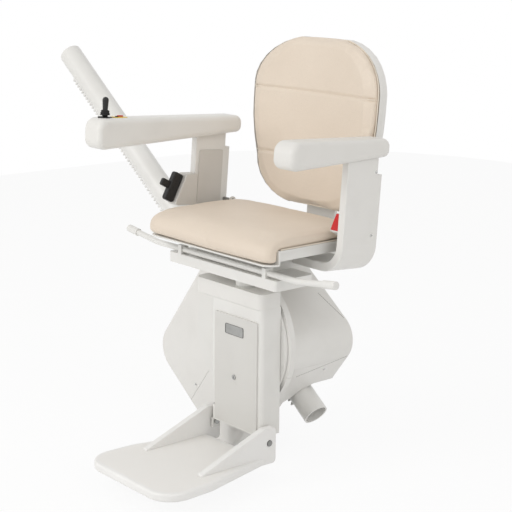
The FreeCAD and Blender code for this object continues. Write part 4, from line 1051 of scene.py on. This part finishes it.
def on_cover(place: Vector) -> tuple[Vector, Vector]:
    """Find the covers' surface behind a place, as the photograph's viewpoint sees it.

    Args:
        place: a place in the plane of the main cover's front.

    Returns:
        The place on the surface and the direction square to it, outwards.
    """
    way = (place - Vector(VIEWPOINT)).normalized()
    found = None
    for name in ("main_cover", "downhill_cover"):
        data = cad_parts[name].data
        tree = BVHTree.FromPolygons([v.co for v in data.vertices],
                                    [tuple(p.vertices) for p in data.polygons])
        spot, normal, _, reach = tree.ray_cast(place - way * 0.4, way)
        if spot is not None and (found is None or reach < found[2]):
            found = (spot, -normal if normal.dot(way) > 0 else normal, reach)
    if found is None:
        raise ValueError(f"no cover behind {place}")
    return found[0], found[1]


@dataclass
class CoverSeams:
    """The fine split joints that cross the downhill cover, drawn as grey lines of painted shade in
    their gaps.
    """

    finishes: Finishes
    line: float = 0.00055
    runs: tuple[tuple[Point, Point], ...] = (
        ((0.073, -0.135, 0.1425), (0.2358, -0.135, 0.2324)),
        ((0.1399, -0.135, 0.3546), (0.2234, -0.135, 0.3156)))

    def build(self) -> None:
        """Lay each joint's grey line of painted gap shade on the cover's surface."""
        for word, (start, end) in zip(("lower", "upper"), self.runs):
            path = []
            for step in range(41):
                spot, outward = on_cover(Vector(start).lerp(Vector(end), step / 40))
                path.append(spot - outward * (0.25 * self.line))
            # The grey tube is painted shade in the joint's gap.
            seam = Shape(f"cover_gap_shade_{word}", self.finishes.get(Finish.GAP_SHADE))
            seam.tube(path, self.line, 8)
            place_piece(seam.object(), "carriage")


@dataclass
class Fasteners:
    """The small screws that hold the covers and the brackets."""

    finishes: Finishes
    radius: float = 0.0034
    height: float = 0.0015
    cover_places: tuple[Point, ...] = ((-0.2963, -0.135, 0.0291), (0.1645, -0.135, 0.1847))

    def screw(self, name: str, place: Vector, axis: Vector, body: str) -> None:
        """Make one round-headed screw with a pocket in its middle.

        Args:
            name: the screw's name.
            place: the middle of its seat.
            axis: the way it stands out.
            body: the body it rides on.
        """
        r, h = self.radius, self.height
        head = Shape(name, self.finishes.get(Finish.CHROME))
        profile = [(0.0002, 0.45 * h), (0.36 * r, 0.45 * h), (0.44 * r, 1.0 * h),
                   (0.62 * r, 0.98 * h), (0.84 * r, 0.8 * h), (0.97 * r, 0.42 * h), (r, 0.0),
                   (0.9 * r, -0.0004), (0.0002, -0.0004)]
        head.lathe(profile, place, axis, 24)
        place_piece(head.object(), body)

    def build(self) -> None:
        """Set the cover screws and the arm bracket screws."""
        for word, place in zip(("uphill", "downhill"), self.cover_places):
            spot, outward = on_cover(Vector(place))
            self.screw(f"cover_screw_{word}", spot, outward, "carriage")
        for side, word in ((1, "left"), (-1, "right")):
            for name, z in (("low", 0.085), ("high", 0.225)):
                place = Leaned.at(side * 0.2721, 0.012, z)
                self.screw(f"{word}_bracket_screw_{name}", place, Leaned.along(side, 0, 0),
                           "chair")


@dataclass
class Studio:
    """Pale floor, soft lamps, white surroundings and the photograph's camera."""

    floor_size: float = 8.0
    floor_glow: float = 0.9
    lamp_power: tuple[float, float, float] = (41.0, 17.0, 6.0)
    ambient: float = 0.60

    def floor(self) -> None:
        """Lay the floor under the rail's lower end."""
        level = CAD_BOX[0][2] - 0.002
        half = self.floor_size / 2
        corners = rounded_outline([(-half, -half, 1.5), (half, -half, 1.5), (half, half, 1.5),
                                   (-half, half, 1.5)])
        g = Skin("studio_floor")
        cloud = g.noise(0.8, 2.0)
        tone = g.blend(cloud, (0.95, 0.95, 0.95), (0.965, 0.965, 0.965))
        g.finish(Base_Color=tone, Roughness=0.9, Specular_IOR_Level=0.1)
        glow = g.node("ShaderNodeEmission", {}, {"Color": (1.0, 1.0, 1.0, 1.0), "Strength": 1.0})
        matt = Wire(g, g.surface.outputs[0])
        mixed = g.node("ShaderNodeMixShader", {}, {0: g.white_rays() * self.floor_glow, 1: matt,
                                                   2: glow})
        g.tree.links.new(mixed.socket, g.output.inputs["Surface"])
        sheet = Shape("studio_floor", g.material)
        sheet.mesh.faces.new([sheet.mesh.verts.new((x, y, level)) for x, y in corners])
        sheet.object()

    def surroundings(self) -> None:
        """Make the world even, and white where it is seen."""
        world = bpy.data.worlds.new("studio_world")
        world.use_nodes = True
        bpy.context.scene.world = world
        g = Graph(world.node_tree)
        light, white = [g.node("ShaderNodeBackground", {}, {"Color": colour, "Strength": strength})
                        for colour, strength in (((1.0, 0.995, 0.985, 1.0), self.ambient),
                                                 ((1.0, 1.0, 1.0, 1.0), 1.0))]
        mixed = g.node("ShaderNodeMixShader", {}, {0: g.white_rays(), 1: light, 2: white})
        g.node("ShaderNodeOutputWorld", {}, {"Surface": mixed})

    def lamp(self, name: str, place: Point, size: float, power: float) -> None:
        """Hang one large soft lamp that looks at the chair.

        Args:
            name: the lamp's name.
            place: where it hangs.
            size: its width in metres.
            power: its power in watts.
        """
        data = bpy.data.lights.new(name, "AREA")
        data.shape = "DISK"
        data.size = size
        data.energy = power
        lamp = bpy.data.objects.new(name, data)
        bpy.context.scene.collection.objects.link(lamp)
        lamp.location = place
        aim = Vector((-0.1, -0.15, 0.45)) - lamp.location
        lamp.rotation_euler = aim.to_track_quat("-Z", "Y").to_euler()

    def camera(self) -> None:
        """Stand the camera where the photograph was taken from."""
        data = bpy.data.cameras.new("photo_camera")
        data.lens = 94.0
        data.sensor_width = 36.0
        data.clip_end = 50.0
        camera = bpy.data.objects.new("photo_camera", data)
        bpy.context.scene.collection.objects.link(camera)
        turn = Matrix(((0.65158809, -0.17840699, 0.73729499), (0.75850441, 0.14016343, -0.63641596),
                       (0.01019927, 0.97392256, 0.22665131))).to_4x4()
        camera.matrix_world = Matrix.Translation(VIEWPOINT) @ turn
        bpy.context.scene.camera = camera

    def build(self) -> None:
        """Set up the studio."""
        self.floor()
        self.surroundings()
        self.lamp("key_lamp", (-0.9, -3.0, 1.9), 2.2, self.lamp_power[0])
        self.lamp("side_lamp", (2.8, -0.6, 1.8), 2.4, self.lamp_power[1])
        self.lamp("top_lamp", (0.2, 0.8, 3.0), 2.4, self.lamp_power[2])
        self.camera()
        bpy.context.scene.view_settings.view_transform = "Standard"


def main() -> None:
    """Build the chair's looks in order."""
    logging.basicConfig(level=logging.INFO)
    finishes = Finishes()
    for part in (CadDresser(finishes), SeatCushion(finishes), Backrest(finishes),
                 Badge(finishes), Joystick(finishes), CoverSeams(finishes),
                 Fasteners(finishes), Studio()):
        part.build()
        log.info("%s done", type(part).__name__)


if __name__ == "__main__":
    main()
